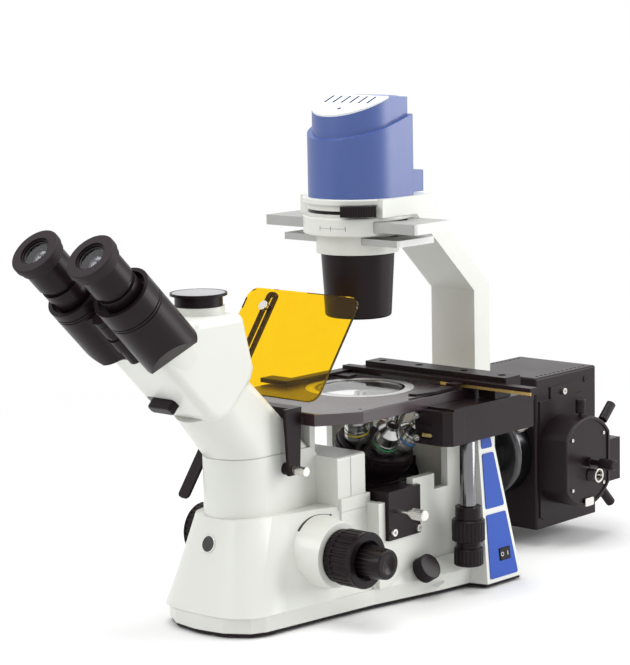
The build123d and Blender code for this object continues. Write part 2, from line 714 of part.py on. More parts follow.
with BuildPart(turret_place) as objectives:
    for index in range(objective_count):
        length = objective_lengths[index]
        with Locations(Rotation(0, 0, index * 360 / objective_count)):
            with Locations(Location((seat_radius, 0, 0), (0, nose_tilt, 0))):
                with Locations((0, 0, -0.5)):
                    Cylinder(8 - fit, shoulder_gap + 1, align=UP)
                with Locations((0, 0, shoulder_gap)):
                    Cylinder(objective_radius, 19.2 - shoulder_gap, align=UP)
                with Locations((0, 0, 19.2)):
                    Cylinder(objective_radius - 0.8, length - 29.2, align=UP)
                with Locations((0, 0, length - 10)):
                    Cone(objective_radius - 0.8, 6.5, 7, align=UP)
                with Locations((0, 0, length - 3)):
                    Cylinder(6, 3, align=UP)
                with Locations((0, 0, length - 1)):
                    Cylinder(4, 1, align=UP, mode=Mode.SUBTRACT)
    print("objectives", objectives.part.is_valid, len(objectives.solids()))
save(objectives, "objectives")

rail_half = 12.0
rail_depth = 6.0
with BuildPart() as focus_rail:
    block(-rail_half, rail_half, rear_front - rail_depth, rear_front, 84, 148)
save(focus_rail, "focus_rail")

with BuildPart(turret_place) as nosepiece_carriage:
    disc(30, -30, -disc_height - run)
    disc(nose_bearing, -30, -4)
    with BuildSketch(Plane.XY.offset(98)):
        with Locations((18, 0)):
            Rectangle(60, 56)
    extrude(amount=14)
    with BuildSketch(Plane.XY.offset(98)):
        with Locations((0, 42)):
            Rectangle(44, 34)
    extrude(amount=26)
    with BuildSketch(Plane.XY.offset(97)):
        with Locations((0, rear_front - rail_depth / 2)):
            Rectangle(2 * (rail_half + fit), rail_depth + 2 * fit)
    extrude(amount=30, mode=Mode.SUBTRACT)
    print("carriage", nosepiece_carriage.part.is_valid, len(nosepiece_carriage.solids()))
save(nosepiece_carriage, "nosepiece_carriage")

# Focus knobs on one axis across the base: tension ring, coarse pair, fine pair
knob_place = Plane((0, focus_y, focus_z), x_dir=(0, 1, 0), z_dir=(1, 0, 0))
with BuildPart(knob_place) as coarse_knobs:
    disc(coarse_shaft, -left_coarse_outer + 4, coarse_outer - 4)
    for low, high in ((coarse_inner, coarse_outer), (-left_coarse_outer, -coarse_inner)):
        disc(coarse_radius, low, high)
    chamfer(edges().filter_by(lambda e: abs(e.radius - coarse_radius) < 0.1 if e.geom_type == GeomType.CIRCLE
                              else False), 1.2)
    for low, high in ((coarse_inner + 2, coarse_outer - 5), (-left_coarse_outer + 3, -coarse_inner - 2)):
        flutes(coarse_radius + 1.2, 2.4, 30, low, high)
    disc(fine_root_radius + 2, coarse_outer - 6, coarse_outer, mode=Mode.SUBTRACT)
    disc(fine_root_radius + 2, -left_coarse_outer, -left_coarse_outer + 6, mode=Mode.SUBTRACT)
    disc(fine_shaft + fit, -left_coarse_outer, coarse_outer, mode=Mode.SUBTRACT)
    print("coarse", coarse_knobs.part.is_valid, len(coarse_knobs.solids()))
save(coarse_knobs, "coarse_knobs")

with BuildPart(knob_place) as fine_knobs:
    disc(fine_shaft, -left_coarse_outer, coarse_outer)
    cone(fine_root_radius, fine_radius, coarse_outer - 6 + run, fine_outer)
    cone(fine_radius, fine_root_radius, -left_fine_outer, -left_coarse_outer + 6 - run)
    fillet(edges().filter_by(lambda e: abs(e.radius - fine_radius) < 0.1 if e.geom_type == GeomType.CIRCLE
                             else False), 1.5)
    flutes(fine_radius + 2.6, 1.9, 24, coarse_outer - 4, fine_outer - 1)
    flutes(fine_radius + 2.6, 1.9, 24, -left_fine_outer + 1, -left_coarse_outer + 4)
    for end in (fine_outer + 16, -left_fine_outer - 16):
        with Locations((0, 0, end)):
            Sphere(18.5, mode=Mode.SUBTRACT)
save(fine_knobs, "fine_knobs")

with BuildPart(knob_place) as tension_ring:
    disc(tension_radius, boss_face + run, coarse_inner - run)
    disc(12 + fit, boss_face, coarse_inner, mode=Mode.SUBTRACT)
    chamfer(edges().filter_by(lambda e: abs(e.radius - tension_radius) < 0.1 if e.geom_type == GeomType.CIRCLE
                              else False), 0.8)
    flutes(tension_radius + 1.2, 2.0, 36, boss_face + 1.5, coarse_inner - 1.5)
save(tension_ring, "tension_ring")

# Brightness knob square to the sloping ledge, and the rocker in the right pillar
with BuildPart(Plane(knob_foot, x_dir=(0, 1, 0), z_dir=ledge_normal)) as brightness_knob:
    disc(13, 0.6, 13)
    fillet(edges().group_by(Axis(knob_foot, ledge_normal))[-1], 1.2)
    flutes(13.5, 0.9, 40, 1.2, 11)
    disc(3, -3, 0.6)
save(brightness_knob, "brightness_knob")

with BuildPart() as rocker_switch:
    with BuildSketch(switch_plane(1).offset(-rocker_depth)):
        with Locations((switch_across, switch_up)):
            Rectangle(rocker_width - 2, rocker_height)
    extrude(amount=rocker_depth + 1.5)
    fillet(edges().filter_by(GeomType.LINE).group_by(Axis.X)[-1], 1)
    pivot_plane = switch_plane(1).offset(-rocker_depth / 2)
    pivot_foot = pivot_plane.from_local_coords((switch_across, switch_up - rocker_height / 2, 0))
    with BuildSketch(Plane(pivot_foot, z_dir=pivot_plane.y_dir)):
        Circle(1.2)
    extrude(amount=rocker_height, mode=Mode.SUBTRACT)
save(rocker_switch, "rocker_switch")

# Blue panels on both pillars, three each
panel_rows = ((4, 68), (74, 129), (134, 146))
face_length = 53.0
face_height = 149.2
with BuildPart() as pillar_inlays:
    for side in (1, -1):
        for low, high in panel_rows:
            corners = []
            for y, end in ((low, 0), (low, 1), (high, 1), (high, 0)):
                left = 9.46 * y / face_height + 4.5
                right = face_length - 21.56 * y / face_height - 4.5
                corners.append(((right if end else left), y * side))
            with BuildSketch(switch_plane(side)):
                with BuildLine():
                    Polyline(*corners, close=True)
                make_face()
                fillet(vertices(), 2.2)
                if side == 1 and low < switch_up < high:
                    with Locations((switch_across, switch_up)):
                        Rectangle(rocker_width + 2 * run, rocker_height + 2 * run, mode=Mode.SUBTRACT)
            extrude(amount=0.8)
    print("inlays", len(pillar_inlays.solids()), [round(s.bounding_box().max.X) for s in pillar_inlays.solids()])
save(pillar_inlays, "pillar_inlays")

# Viewing head: block with the port, sloping neck, wide face for the two tubes
tube_down = Vector(0, math.sqrt(0.5), -math.sqrt(0.5))


def tube_plane(x=0.0, depth=0.0, drop=0.0):
    """Plane square to the viewing axis, depth measured from the eyecups, local y down and to the front."""
    origin = Vector(x, eye_y, eye_z) + tube_down * depth + Vector(0, -math.sqrt(0.5), -math.sqrt(0.5)) * drop
    return Plane(origin, x_dir=(1, 0, 0), z_dir=tube_down)


hinge_drop = math.sqrt(tube_swing ** 2 - tube_half ** 2)
lever_travel = 7.0
lever_place = Plane((0, -262.8, 223), x_dir=(1, 0, 0), z_dir=(0, -1, -1))
neck_plane = Plane((0, -218.5, 220.5), x_dir=(1, 0, 0), z_dir=(0, -0.52, 0.85))


def neck_plan(half, front, back):
    """Plan of the neck: a half circle in front, straight sides, two rounded corners behind."""
    with Locations((0, front + half)):
        Circle(half)
    with Locations((0, (front + half + back) / 2)):
        Rectangle(2 * half, back - front - half)
    fillet(vertices().group_by(Axis.Y)[-1], 10)


with BuildPart() as head:
    with BuildSketch(Plane.YZ.offset(-head_half)):
        with BuildLine():
            Polyline((-308.1, 268.3), (-252, 212.2), (-240, 205), (-222, 207), (-191, 238), (-187, 249),
                     (-201, 302), (-262, 302), close=True)
        make_face()
        fillet(vertices().filter_by(lambda v: v.X > -300), 9)
    extrude(amount=2 * head_half)
    flank_rims = edges().filter_by(lambda e: abs(abs(e.center().X) - head_half) < 0.1)
    fillet(flank_rims, 8)
    with BuildSketch(tube_plane(depth=head_face, drop=-8.5)):
        RectangleRounded(88, 49, 22)
    with BuildSketch(tube_plane(depth=172, drop=-8.5)):
        RectangleRounded(2 * head_half - 4, 46, 18)
    loft()
    with BuildSketch(Plane.XY.offset(seam_z + 0.8)):
        neck_plan(tower_half, tower_centre - tower_half, tower_rear)
    with BuildSketch(neck_plane):
        neck_plan(tower_half - 1, -33.5, 33.5)
    loft()
    with BuildSketch(Plane.XY.offset(seam_z)):
        neck_plan(tower_half - 0.8, tower_centre - tower_half + 0.8, tower_rear - 0.8)
    extrude(amount=0.8)
    with Locations((0, port_y, 300)):
        Cylinder(24, 9, align=UP)
    with Locations((0, port_y, 270)):
        Cylinder(18 + fit, 45, align=UP, mode=Mode.SUBTRACT)
    with BuildSketch(Plane.YZ.offset(-head_half + 8)):
        with BuildLine():
            Polyline((-284, 258), (-250, 224), (-232, 218), (-200, 242), (-212, 285), (-262, 285), (-276, 272),
                     close=True)
        make_face()
    extrude(amount=2 * head_half - 16, mode=Mode.SUBTRACT)
    with BuildSketch(lever_place):
        with Locations((-8 - lever_travel / 2, 0)):
            RectangleRounded(30 + lever_travel + 2 * run, 11 + 2 * run, 4)
    extrude(amount=-6, mode=Mode.SUBTRACT)
    print("head", head.part.is_valid, len(head.solids()), head.part.volume / 1e6)
save(head, "head")

with BuildPart() as port_cap:
    with Locations((0, port_y, port_rim_z - 2.5)):
        Cylinder(26.7, 2.5, align=UP)
    with Locations((0, port_y, 309 + run)):
        Cylinder(22.4, port_rim_z - 2.5 - 309 - run, align=UP)
    with Locations((0, port_y, 296)):
        Cylinder(18, 13.5, align=UP)
    with Locations((0, port_y, port_rim_z - 0.7)):
        Cylinder(25, 0.7, align=UP, mode=Mode.SUBTRACT)
save(port_cap, "port_cap")

# Glass of the light path: collector, condenser lenses, prism in the head, mirror prism in the base
with BuildPart() as light_path_glass:
    disc(light_bore + 4 - fit, barrel_bottom + 3, barrel_bottom + 10)
    disc(light_bore - fit, lower_ring_bottom - 8, lower_ring_bottom)
    disc(light_bore + 8, flange_top, flange_top + 6)
    with BuildSketch(Plane.YZ.offset(-14)):
        with BuildLine():
            Polyline((-250, 224), (-232, 218), (-232, 244), (-262, 244), (-262, 236), close=True)
        make_face()
    extrude(amount=28)
    with BuildSketch(Plane.YZ.offset(-12)):
        with BuildLine():
            Polyline((-12, ledge_top), (12, ledge_top), (12, ledge_top + 24), close=True)
        make_face()
    extrude(amount=24)
save(light_path_glass, "light_path_glass")

# Light path lever across the lower front of the head
with BuildPart() as light_lever:
    with BuildSketch(lever_place.offset(slip - 6)):
        with Locations((-8, 0)):
            RectangleRounded(30, 11, 4)
    extrude(amount=16)
    fillet(edges().group_by(Axis((0, 0, 0), (0, -0.707, -0.707)))[-1], 2)
save(light_lever, "light_lever")

# Two viewing tubes that swing about one hinge pin; the left one has the dioptre ring
tube_kinds = ((1, "right", drum_radius, drum_top, 19.5, 60, 115, 100),
              (-1, "left", left_drum_radius, left_drum_top, 18.3, 75, drum_end, 80))
for side, name, wide, low, collar, block_low, block_high, arm_low in tube_kinds:
    place = tube_plane(side * tube_half)
    with BuildPart(place) as tube:
        disc(wide, low, drum_end)
        disc(wide + 1, drum_top + 19, drum_top + 20, mode=Mode.SUBTRACT)
        disc(wide + 1, drum_top + 22, drum_top + 23, mode=Mode.SUBTRACT)
        disc(wide - 0.8, drum_top + 18, drum_top + 24)
        fillet(edges().filter_by(lambda e: abs(e.radius - wide) < 0.1 if e.geom_type == GeomType.CIRCLE
                                 else False).group_by(SortBy.LENGTH)[-1], 0.4)
        disc(wide - 4, low, low + 8, mode=Mode.SUBTRACT)
        disc(collar, drum_top - 8, low + 9)
        if side == -1:
            disc(20, drum_top - 8, drum_top)
        cut_turn = math.degrees(math.atan2(cut_aim[1], side * cut_aim[0]))
        cut_middle = (side * cut_chord * cut_aim[0], cut_chord * cut_aim[1], drum_end)
        with Locations(Location(cut_middle, (0, 0, cut_turn))):
            with Locations(Rotation(0, cut_slope - 90, 0)):
                Box(60, 80, 120, align=(Align.MIN, Align.CENTER, Align.CENTER), mode=Mode.SUBTRACT)
        with BuildSketch(tube_plane(side * tube_half, block_low)):
            with BuildLine():
                Polyline((side * -10, 6), (side * -26, 6), (side * -26, 14), (side * -6, 25), close=True)
            make_face()
        extrude(amount=block_high - block_low)
        eye_x = side * -tube_half
        with BuildSketch(tube_plane(side * tube_half, arm_low)):
            with BuildLine():
                Polyline((eye_x, hinge_drop - 6), (eye_x, hinge_drop + 6), (side * -20, 16), (side * -20, 0),
                         close=True)
            make_face()
            with Locations((eye_x, hinge_drop)):
                Circle(hinge_radius + 1.3)
        extrude(amount=15)
        with BuildSketch(tube_plane(side * tube_half, drum_top)):
            with Locations((eye_x, hinge_drop)):
                Circle(hinge_radius + fit)
        extrude(amount=drum_end, mode=Mode.SUBTRACT)
        disc(tube_bore + fit, drum_top - 8, 100, mode=Mode.SUBTRACT)
        disc(12, 99, drum_end, mode=Mode.SUBTRACT)
        print(name, tube.part.is_valid, len(tube.solids()))
    save(tube, f"tube_{name}")
    with BuildPart(place) as eyepiece:
        disc(20.5, 12, 36)
        fillet(edges().group_by(SortBy.LENGTH)[-1], 0.8)
        disc(17.5, 36, drum_top - 8)
        disc(tube_bore, drum_top - 8, 74)
        disc(lens_rim - fit, 1.5, 12)
        disc(13, 1.5, 74, mode=Mode.SUBTRACT)
    save(eyepiece, f"eyepiece_{name}")
    with BuildPart(place) as eyecup:
        disc(24.2, 0, 7.5)
        fillet(edges().filter_by(GeomType.CIRCLE), 1.5)
        disc(22.4, 7.5, 12)
        disc(lens_rim, 0, 12, mode=Mode.SUBTRACT)
    save(eyecup, f"eyecup_{name}")
    with BuildPart(place) as eye_lens:
        disc(13 - fit, 4, 10)
        disc(13 - fit, 64, 68)
    save(eye_lens, f"eye_lens_{name}")

with BuildPart(tube_plane(0, 0, hinge_drop)) as hinge_pin:
    disc(hinge_radius, 76, head_face)
    disc(hinge_radius + 1.2, 74, 79.7)
save(hinge_pin, "hinge_pin")

# Amber shield with its slotted bar and strap
shield_top = Vector(0, -77, 303)
shield_down = Vector(0, -0.595, -0.8037)
shield_out = Vector(0, -0.8037, 0.595)
shield_half = 71.5
shield_length = 112.6
shield_thickness = 3.0
bar_x = -42.0
bar_top = 2.0
bar_foot = 227.1
slot_top = 6.0
slot_foot = 98.0
shield_place = Plane(shield_top, x_dir=(1, 0, 0), z_dir=shield_out)
with BuildPart() as shield:
    with BuildSketch(shield_place):
        with Locations((0, -shield_length / 2)):
            RectangleRounded(2 * shield_half, shield_length, 12)
        for down in (20, 92):
            with Locations((bar_x, -down)):
                Circle(2 + fit, mode=Mode.SUBTRACT)
    extrude(amount=shield_thickness)
save(shield, "shield")

with BuildPart() as shield_screws:
    with BuildSketch(shield_place.offset(shield_thickness)):
        with Locations((bar_x, -20), (bar_x, -92)):
            Circle(5)
    extrude(amount=3.5)
    with BuildSketch(shield_place.offset(-run - 3)):
        with Locations((bar_x, -20), (bar_x, -92)):
            Circle(2)
    extrude(amount=3 + run + shield_thickness)
    print("shield screws", len(shield_screws.solids()))
save(shield_screws, "shield_screws")

strap_x = 42.5
strap_thickness = 3.5
screw_y = -148.5
screw_z = 147.0
with BuildPart() as shield_bracket:
    with BuildSketch(shield_place.offset(-run)):
        with Locations((bar_x, -(bar_top + bar_foot) / 2)):
            RectangleRounded(13.4, bar_foot - bar_top, 5)
        with Locations((bar_x, -(slot_top + slot_foot) / 2)):
            SlotOverall(slot_foot - slot_top, 2 * (2 + run), rotation=90, mode=Mode.SUBTRACT)
    extrude(amount=-3)
    block(bar_x - 6, strap_x + strap_thickness, -152, -137.5, 202.5, 206)
    with BuildSketch(Plane.YZ.offset(strap_x)):
        with BuildLine():
            Polyline((-160, 206), (-137.5, 206), (-141, 142), (-156, 142), close=True)
        make_face()
    extrude(amount=strap_thickness)
    with BuildSketch(Plane.YZ.offset(tower_half)):
        with Locations((screw_y, screw_z)):
            Circle(6)
    extrude(amount=strap_x - tower_half)
    with BuildSketch(Plane.YZ.offset(tower_half)):
        with Locations((screw_y, screw_z)):
            Circle(2 + fit)
    extrude(amount=20, mode=Mode.SUBTRACT)
    print("bracket", shield_bracket.part.is_valid, len(shield_bracket.solids()))
save(shield_bracket, "shield_bracket")

with BuildPart(Plane((0, screw_y, screw_z), x_dir=(0, 1, 0), z_dir=(1, 0, 0))) as strap_thumbscrew:
    disc(2, tower_half, strap_x + strap_thickness)
    disc(2, strap_x + strap_thickness, strap_x + strap_thickness + run)
    disc(4.4, strap_x + strap_thickness + run, strap_x + strap_thickness + 15)
    flutes(4.8, 0.6, 16, strap_x + strap_thickness + 1, strap_x + strap_thickness + 12)
save(strap_thumbscrew, "strap_thumbscrew")

# Fluorescence light: beam tube into the base, lamp house, lamp module with its centring knobs
beam_plane = Plane((0, lamp_front, beam_z), x_dir=(1, 0, 0), z_dir=(0, -1, 0))
with BuildPart(beam_plane) as epi_tube:
    disc(46, 0, 22)
    fillet(edges().group_by(Axis.Y)[0], 5)
    disc(beam_radius, 22, lamp_front - 80)
    disc(beam_radius - 3, 0, lamp_front - 80, mode=Mode.SUBTRACT)
    disc(36, 3, 17, mode=Mode.SUBTRACT)
    with BuildSketch(Plane((0, lamp_front - 11, beam_z), x_dir=(0, 1, 0), z_dir=(0.8, 0, 0.6))) as screw_hole:
        Circle(2 + fit)
    extrude(amount=60, mode=Mode.SUBTRACT)
save(epi_tube, "epi_tube")

with BuildPart(Plane((0, lamp_front - 11, beam_z), x_dir=(0, 1, 0), z_dir=(0.8, 0, 0.6))) as tube_screw:
    disc(2, 38, 50)
    disc(4.5, 46 + run, 64)
    flutes(4.9, 0.6, 16, 50, 62)
save(tube_screw, "tube_screw")

with BuildPart() as epi_lamp_house:
    block(-lamp_half, lamp_half, lamp_front, lamp_back, lamp_bottom, lamp_top)
    fillet(edges().filter_by(Axis.Z) + edges().group_by(Axis.Z)[-1], 2.5)
    block(-lamp_half + lamp_wall, lamp_half - lamp_wall, lamp_front + lamp_wall, lamp_back - lamp_wall,
          lamp_bottom + lamp_wall, lamp_top - lamp_wall, mode=Mode.SUBTRACT)
    block(lamp_half - 1, lamp_half + 1.5, 228, 307, 31, 157)
    block(lamp_half - 1, lamp_half + 1.5, 247, 290, 157, 170)
    with BuildSketch(Plane.XZ.offset(-lamp_front - 5)):
        with Locations((0, beam_z)):
            Circle(beam_radius - 3)
    extrude(amount=10, mode=Mode.SUBTRACT)
    for step in range(12):
        for x in (-44, 44):
            with Locations((x, lamp_front + 12 + step * 7.6, lamp_top - 5)):
                Box(3, 3.4, 12, mode=Mode.SUBTRACT)
    with BuildSketch(Plane.YZ.offset(lamp_half - 6)):
        with Locations((module_y, module_z)):
            Circle(module_radius - 10)
    extrude(amount=10, mode=Mode.SUBTRACT)
    block(lamp_half, 80, module_y + module_flat + run, 336, 60, 106)
    block(lamp_half, 77, module_y + module_flat + run + 3, 333, 63, 103, mode=Mode.SUBTRACT)
    block(-40, -30, lamp_front + 10, lamp_front + 20, lamp_bottom - 2, lamp_bottom)
    block(30, 40, lamp_front + 10, lamp_front + 20, lamp_bottom - 2, lamp_bottom)
    block(30, 40, lamp_back - 20, lamp_back - 10, lamp_bottom - 2, lamp_bottom)
    block(-40, -30, lamp_back - 20, lamp_back - 10, lamp_bottom - 2, lamp_bottom)
    print("house", epi_lamp_house.part.is_valid, len(epi_lamp_house.solids()))
save(epi_lamp_house, "epi_lamp_house")

module_start = lamp_half + 1.5
connector_y = 274.5
connector_z = 75.5
with BuildPart() as epi_lamp_module:
    with BuildSketch(Plane.YZ.offset(module_start)):
        with Locations((module_y, module_z)):
            Circle(module_radius)
            Rectangle(2 * module_flat, 2 * module_radius, mode=Mode.INTERSECT)
    extrude(amount=module_face - module_start)
    fillet(edges().group_by(Axis.X)[-1], 2)
    with BuildSketch(Plane.YZ.offset(module_face - 1.5)):
        with Locations((module_y, module_z)):
            Circle(module_radius - 4)
            Rectangle(2 * module_flat - 8, 2 * module_radius, mode=Mode.INTERSECT)
    extrude(amount=2, mode=Mode.SUBTRACT)
    with BuildSketch(Plane.YZ.offset(module_start)):
        with Locations((module_y, module_z)):
            Circle(module_radius - 4)
            Rectangle(2 * module_flat - 8, 2 * module_radius, mode=Mode.INTERSECT)
    extrude(amount=module_face - module_start - 5.5, mode=Mode.SUBTRACT)
    with BuildSketch(Plane.YZ.offset(module_face - 8)):
        with Locations((module_y, module_z)):
            Circle(3 + fit)
    extrude(amount=12, mode=Mode.SUBTRACT)
    with BuildSketch(Plane.YZ.offset(module_face - 1.5)):
        with Locations((module_y, module_z)):
            Circle(5.2)
            Circle(3 + fit, mode=Mode.SUBTRACT)
    extrude(amount=6)
    for angle in (0, -47, -135):
        with BuildSketch(Plane((76, module_y, module_z), x_dir=(1, 0, 0),
                               z_dir=(0, -math.sin(math.radians(angle)), math.cos(math.radians(angle))))):
            Circle(2 + fit)
        extrude(amount=60, mode=Mode.SUBTRACT)
    with BuildSketch(Plane.YZ.offset(module_face - 1.5)):
        with Locations((connector_y, connector_z)):
            Circle(7.4)
    extrude(amount=11)
    with BuildSketch(Plane.YZ.offset(module_face + 2)):
        with Locations((connector_y, connector_z)):
            Circle(5.8)
            with GridLocations(4, 4, 2, 2):
                Circle(0.7, mode=Mode.SUBTRACT)
    extrude(amount=10, mode=Mode.SUBTRACT)
    print("module", epi_lamp_module.part.is_valid, len(epi_lamp_module.solids()))
save(epi_lamp_module, "epi_lamp_module")

lamp_knobs = (("lamp_knob_top", 0, module_radius), ("lamp_knob_upper", -47, 52), ("lamp_knob_lower", -135, 52))
for name, angle, start in lamp_knobs:
    aim = (0, -math.sin(math.radians(angle)), math.cos(math.radians(angle)))
    with BuildPart(Plane((76, module_y, module_z), x_dir=(1, 0, 0), z_dir=aim)) as lamp_knob:
        disc(2, start - 8, start + 3)
        disc(5.2, start + 3, start + 18 if angle == 0 else start + 26)
        fillet(edges().filter_by(lambda e: abs(e.radius - 5.2) < 0.1 if e.geom_type == GeomType.CIRCLE
                                 else False), 0.8)
        flutes(5.7, 0.7, 16, start + 4, start + 16 if angle == 0 else start + 24)
    save(lamp_knob, name)

focus_rod_plane = Plane((0, module_y, module_z), x_dir=(0, 1, 0), z_dir=(1, 0, 0))
with BuildPart(focus_rod_plane) as lamp_focus_rod:
    disc(3, 60, 101)
    disc(5.6, 101, 120)
    chamfer(edges().filter_by(lambda e: abs(e.radius - 5.6) < 0.1 if e.geom_type == GeomType.CIRCLE else False), 0.8)
    flutes(6.1, 0.7, 16, 102, 117)
save(lamp_focus_rod, "lamp_focus_rod")

# Small nickel screws, all alike apart from their seats
with BuildPart() as nickel_screws:
    seats = [((drive_left + 4, drive_front, z), (0, -1, 0), 3.2) for z in (drive_bottom + 6, drive_top - 6)]
    seats += [((cube_right, y, z), (1, 0, 0), 3.6) for y, z in ((-52, 74), (-15, 72))]
    seats += [((lamp_half + 1.5, module_y, 163), (1, 0, 0), 3.4)]
    seats += [((module_face - 1.5, module_y + y, module_z + z), (1, 0, 0), 1.8)
              for y, z in ((-28, 27), (28, 27), (-28, -27), (28, -27))]
    for seat, aim, radius in seats:
        with BuildSketch(Plane(seat, z_dir=aim)):
            Circle(radius)
            RegularPolygon(radius * 0.5, 6, mode=Mode.SUBTRACT)
        extrude(amount=radius)
        with BuildSketch(Plane(seat, z_dir=aim)):
            Circle(radius * 0.6)
        extrude(amount=radius * 0.35)
    print("screws", len(nickel_screws.solids()))
save(nickel_screws, "nickel_screws")
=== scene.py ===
# %% [markdown]
# An inverted microscope, dressed in Blender.
# The CAD model already has every part at its true size and place. This script gives each part its finish
# and adds the small things that CAD leaves plain: printed marks, coated lenses, grips, rings, plugs and pins.
# All lengths in the helpers are millimetres, and `mm` turns them into the metres that Blender uses.

# %% Load the frame
import math
import bpy
import numpy as np
from mathutils import Matrix


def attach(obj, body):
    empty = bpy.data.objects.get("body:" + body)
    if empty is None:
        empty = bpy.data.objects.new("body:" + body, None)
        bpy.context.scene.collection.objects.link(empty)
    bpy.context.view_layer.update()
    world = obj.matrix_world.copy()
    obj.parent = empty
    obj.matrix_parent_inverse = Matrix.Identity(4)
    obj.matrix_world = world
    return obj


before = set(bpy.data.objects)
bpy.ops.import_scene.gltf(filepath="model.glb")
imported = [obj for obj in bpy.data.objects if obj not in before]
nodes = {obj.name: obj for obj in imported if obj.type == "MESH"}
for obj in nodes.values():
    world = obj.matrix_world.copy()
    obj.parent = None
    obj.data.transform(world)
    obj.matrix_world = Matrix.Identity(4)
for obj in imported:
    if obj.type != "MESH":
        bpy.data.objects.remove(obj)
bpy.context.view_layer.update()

# %% [markdown]
# First the camera, because every later choice is judged through it. A photograph with little perspective
# comes from a long lens at some distance. The lens is slightly shifted, as on a product shot whose frame
# was cropped after it was taken, so the shift is kept and the camera keeps its true tilt.

# %% Camera
mm = 0.001
camera_place = np.array([1546.497, -1778.719, 615.291]) * mm
camera_right = (0.74413303, 0.66775737, -0.01913478)
camera_up = (-0.07905158, 0.11646322, 0.99004402)
camera_back = (0.66333769, -0.73521182, 0.1394514)
photo_height = 665
focal_pixels = 2397.3
shift_pixels = -27.12

lens = bpy.data.cameras.new("photo_camera")
lens.sensor_width = 36
lens.lens = focal_pixels / photo_height * lens.sensor_width
lens.shift_y = shift_pixels / photo_height
lens.clip_start = 0.05
lens.clip_end = 60
camera = bpy.data.objects.new("photo_camera", lens)
bpy.context.collection.objects.link(camera)
turn = np.eye(4)
turn[:3, 0], turn[:3, 1], turn[:3, 2], turn[:3, 3] = camera_right, camera_up, camera_back, camera_place
camera.matrix_world = Matrix(turn.tolist())
bpy.context.scene.camera = camera
print("lens", round(lens.lens, 2), "shift", round(lens.shift_y, 4))

# %% [markdown]
# Shader maths reads best as plain arithmetic. `Tap` wraps one output of a shader node, and adding or
# multiplying taps puts the Math nodes in the material. `Finish` owns one material: its `node` method
# adds any node, sets its options first and then its inputs, which may be numbers, colours or taps. A Mix
# node has sockets for several kinds of value under the same names, so its colour sockets go by number.

# %% Shader helpers
mix_first, mix_second, mix_result = 6, 7, 2


class Tap:
    """One shader value. Arithmetic on it adds Math nodes to its material."""

    def __init__(self, finish, socket):
        self.finish = finish
        self.socket = socket

    def math(self, operation, *values):
        return self.finish.node("ShaderNodeMath", {"operation": operation}, dict(enumerate(values)))

    def __add__(self, other):
        return self.math("ADD", self, other)

    def __sub__(self, other):
        return self.math("SUBTRACT", self, other)

    def __rsub__(self, other):
        return self.math("SUBTRACT", other, self)

    def __mul__(self, other):
        return self.math("MULTIPLY", self, other)

    def __gt__(self, other):
        return self.math("GREATER_THAN", self, other)

    __radd__ = __add__
    __rmul__ = __mul__


class Finish:
    """A material with a Principled shader, built one node at a time."""

    def __init__(self, name):
        self.material = bpy.data.materials.new(name)
        self.material.use_nodes = True
        self.tree = self.material.node_tree
        self.shader = self.tree.nodes["Principled BSDF"]

    def node(self, kind, settings=None, inputs=None, output=0):
        made = self.tree.nodes.new(kind)
        for key, value in (settings or {}).items():
            setattr(made, key, value)
        for key, value in (inputs or {}).items():
            self.feed(made.inputs[key], value)
        return Tap(self, made.outputs[output])

    def feed(self, socket, value):
        if isinstance(value, Tap):
            self.tree.links.new(value.socket, socket)
        else:
            socket.default_value = value

    def set(self, **values):
        for key, value in values.items():
            self.feed(self.shader.inputs[key.replace("_", " ")], value)

    def place(self):
        """Object coordinates, in metres from the origin at bench level."""
        return self.node("ShaderNodeTexCoord", output="Object")

    def noise(self, size, detail=2.0, where=None):
        """Cloudy noise, from 0 to 1, whose blobs are about size millimetres across."""
        inputs = {"Vector": where or self.place(), "Scale": 1 / (size * mm), "Detail": detail}
        return self.node("ShaderNodeTexNoise", None, inputs)

    def along(self, axis):
        """Distance along a direction, in metres."""
        dot = {"operation": "DOT_PRODUCT"}
        return self.node("ShaderNodeVectorMath", dot, {0: self.place(), 1: axis}, output="Value")

    def blend(self, factor, first, second):
        """Colour between first, where factor is 0, and second, where it is 1."""
        colours = [(*colour, 1) if isinstance(colour, tuple) else colour for colour in (first, second)]
        inputs = {"Factor": factor, mix_first: colours[0], mix_second: colours[1]}
        return self.node("ShaderNodeMix", {"data_type": "RGBA"}, inputs, output=mix_result)

    def relief(self, height, depth, edge=0.0):
        """A bump of depth millimetres where height goes from 0 to 1, on edges rounded by edge millimetres."""
        inputs = {"Height": height, "Distance": depth * mm, "Strength": 1.0}
        if edge:
            bevel = self.node("ShaderNodeBevel", {"samples": 4}, {"Radius": edge * mm})
            inputs["Normal"] = bevel
        self.set(Normal=self.node("ShaderNodeBump", None, inputs))


print("helpers ready")

# %% [markdown]
# The casting, the arm, the collar and the head wear one warm white enamel. Real enamel is never perfectly
# even: it has a faint orange peel of a millimetre or so, slightly duller patches where hands rest, and a
# tint that drifts a little. Both drifts are slow noises, and the peel is a shallow bump. Two parts carry
# prints in the enamel. A print could be a picture, but a few comparisons of coordinates stay sharp at any
# size, so the arrow and the ticks are masks, worked out in millimetres from the origin.

# %% White enamel
enamel_colour = (0.70, 0.71, 0.665)
ink = (0.03, 0.03, 0.03)


def shaded(colour, factor):
    """A colour made lighter or darker by a factor."""
    return tuple(min(1.0, channel * factor) for channel in colour)


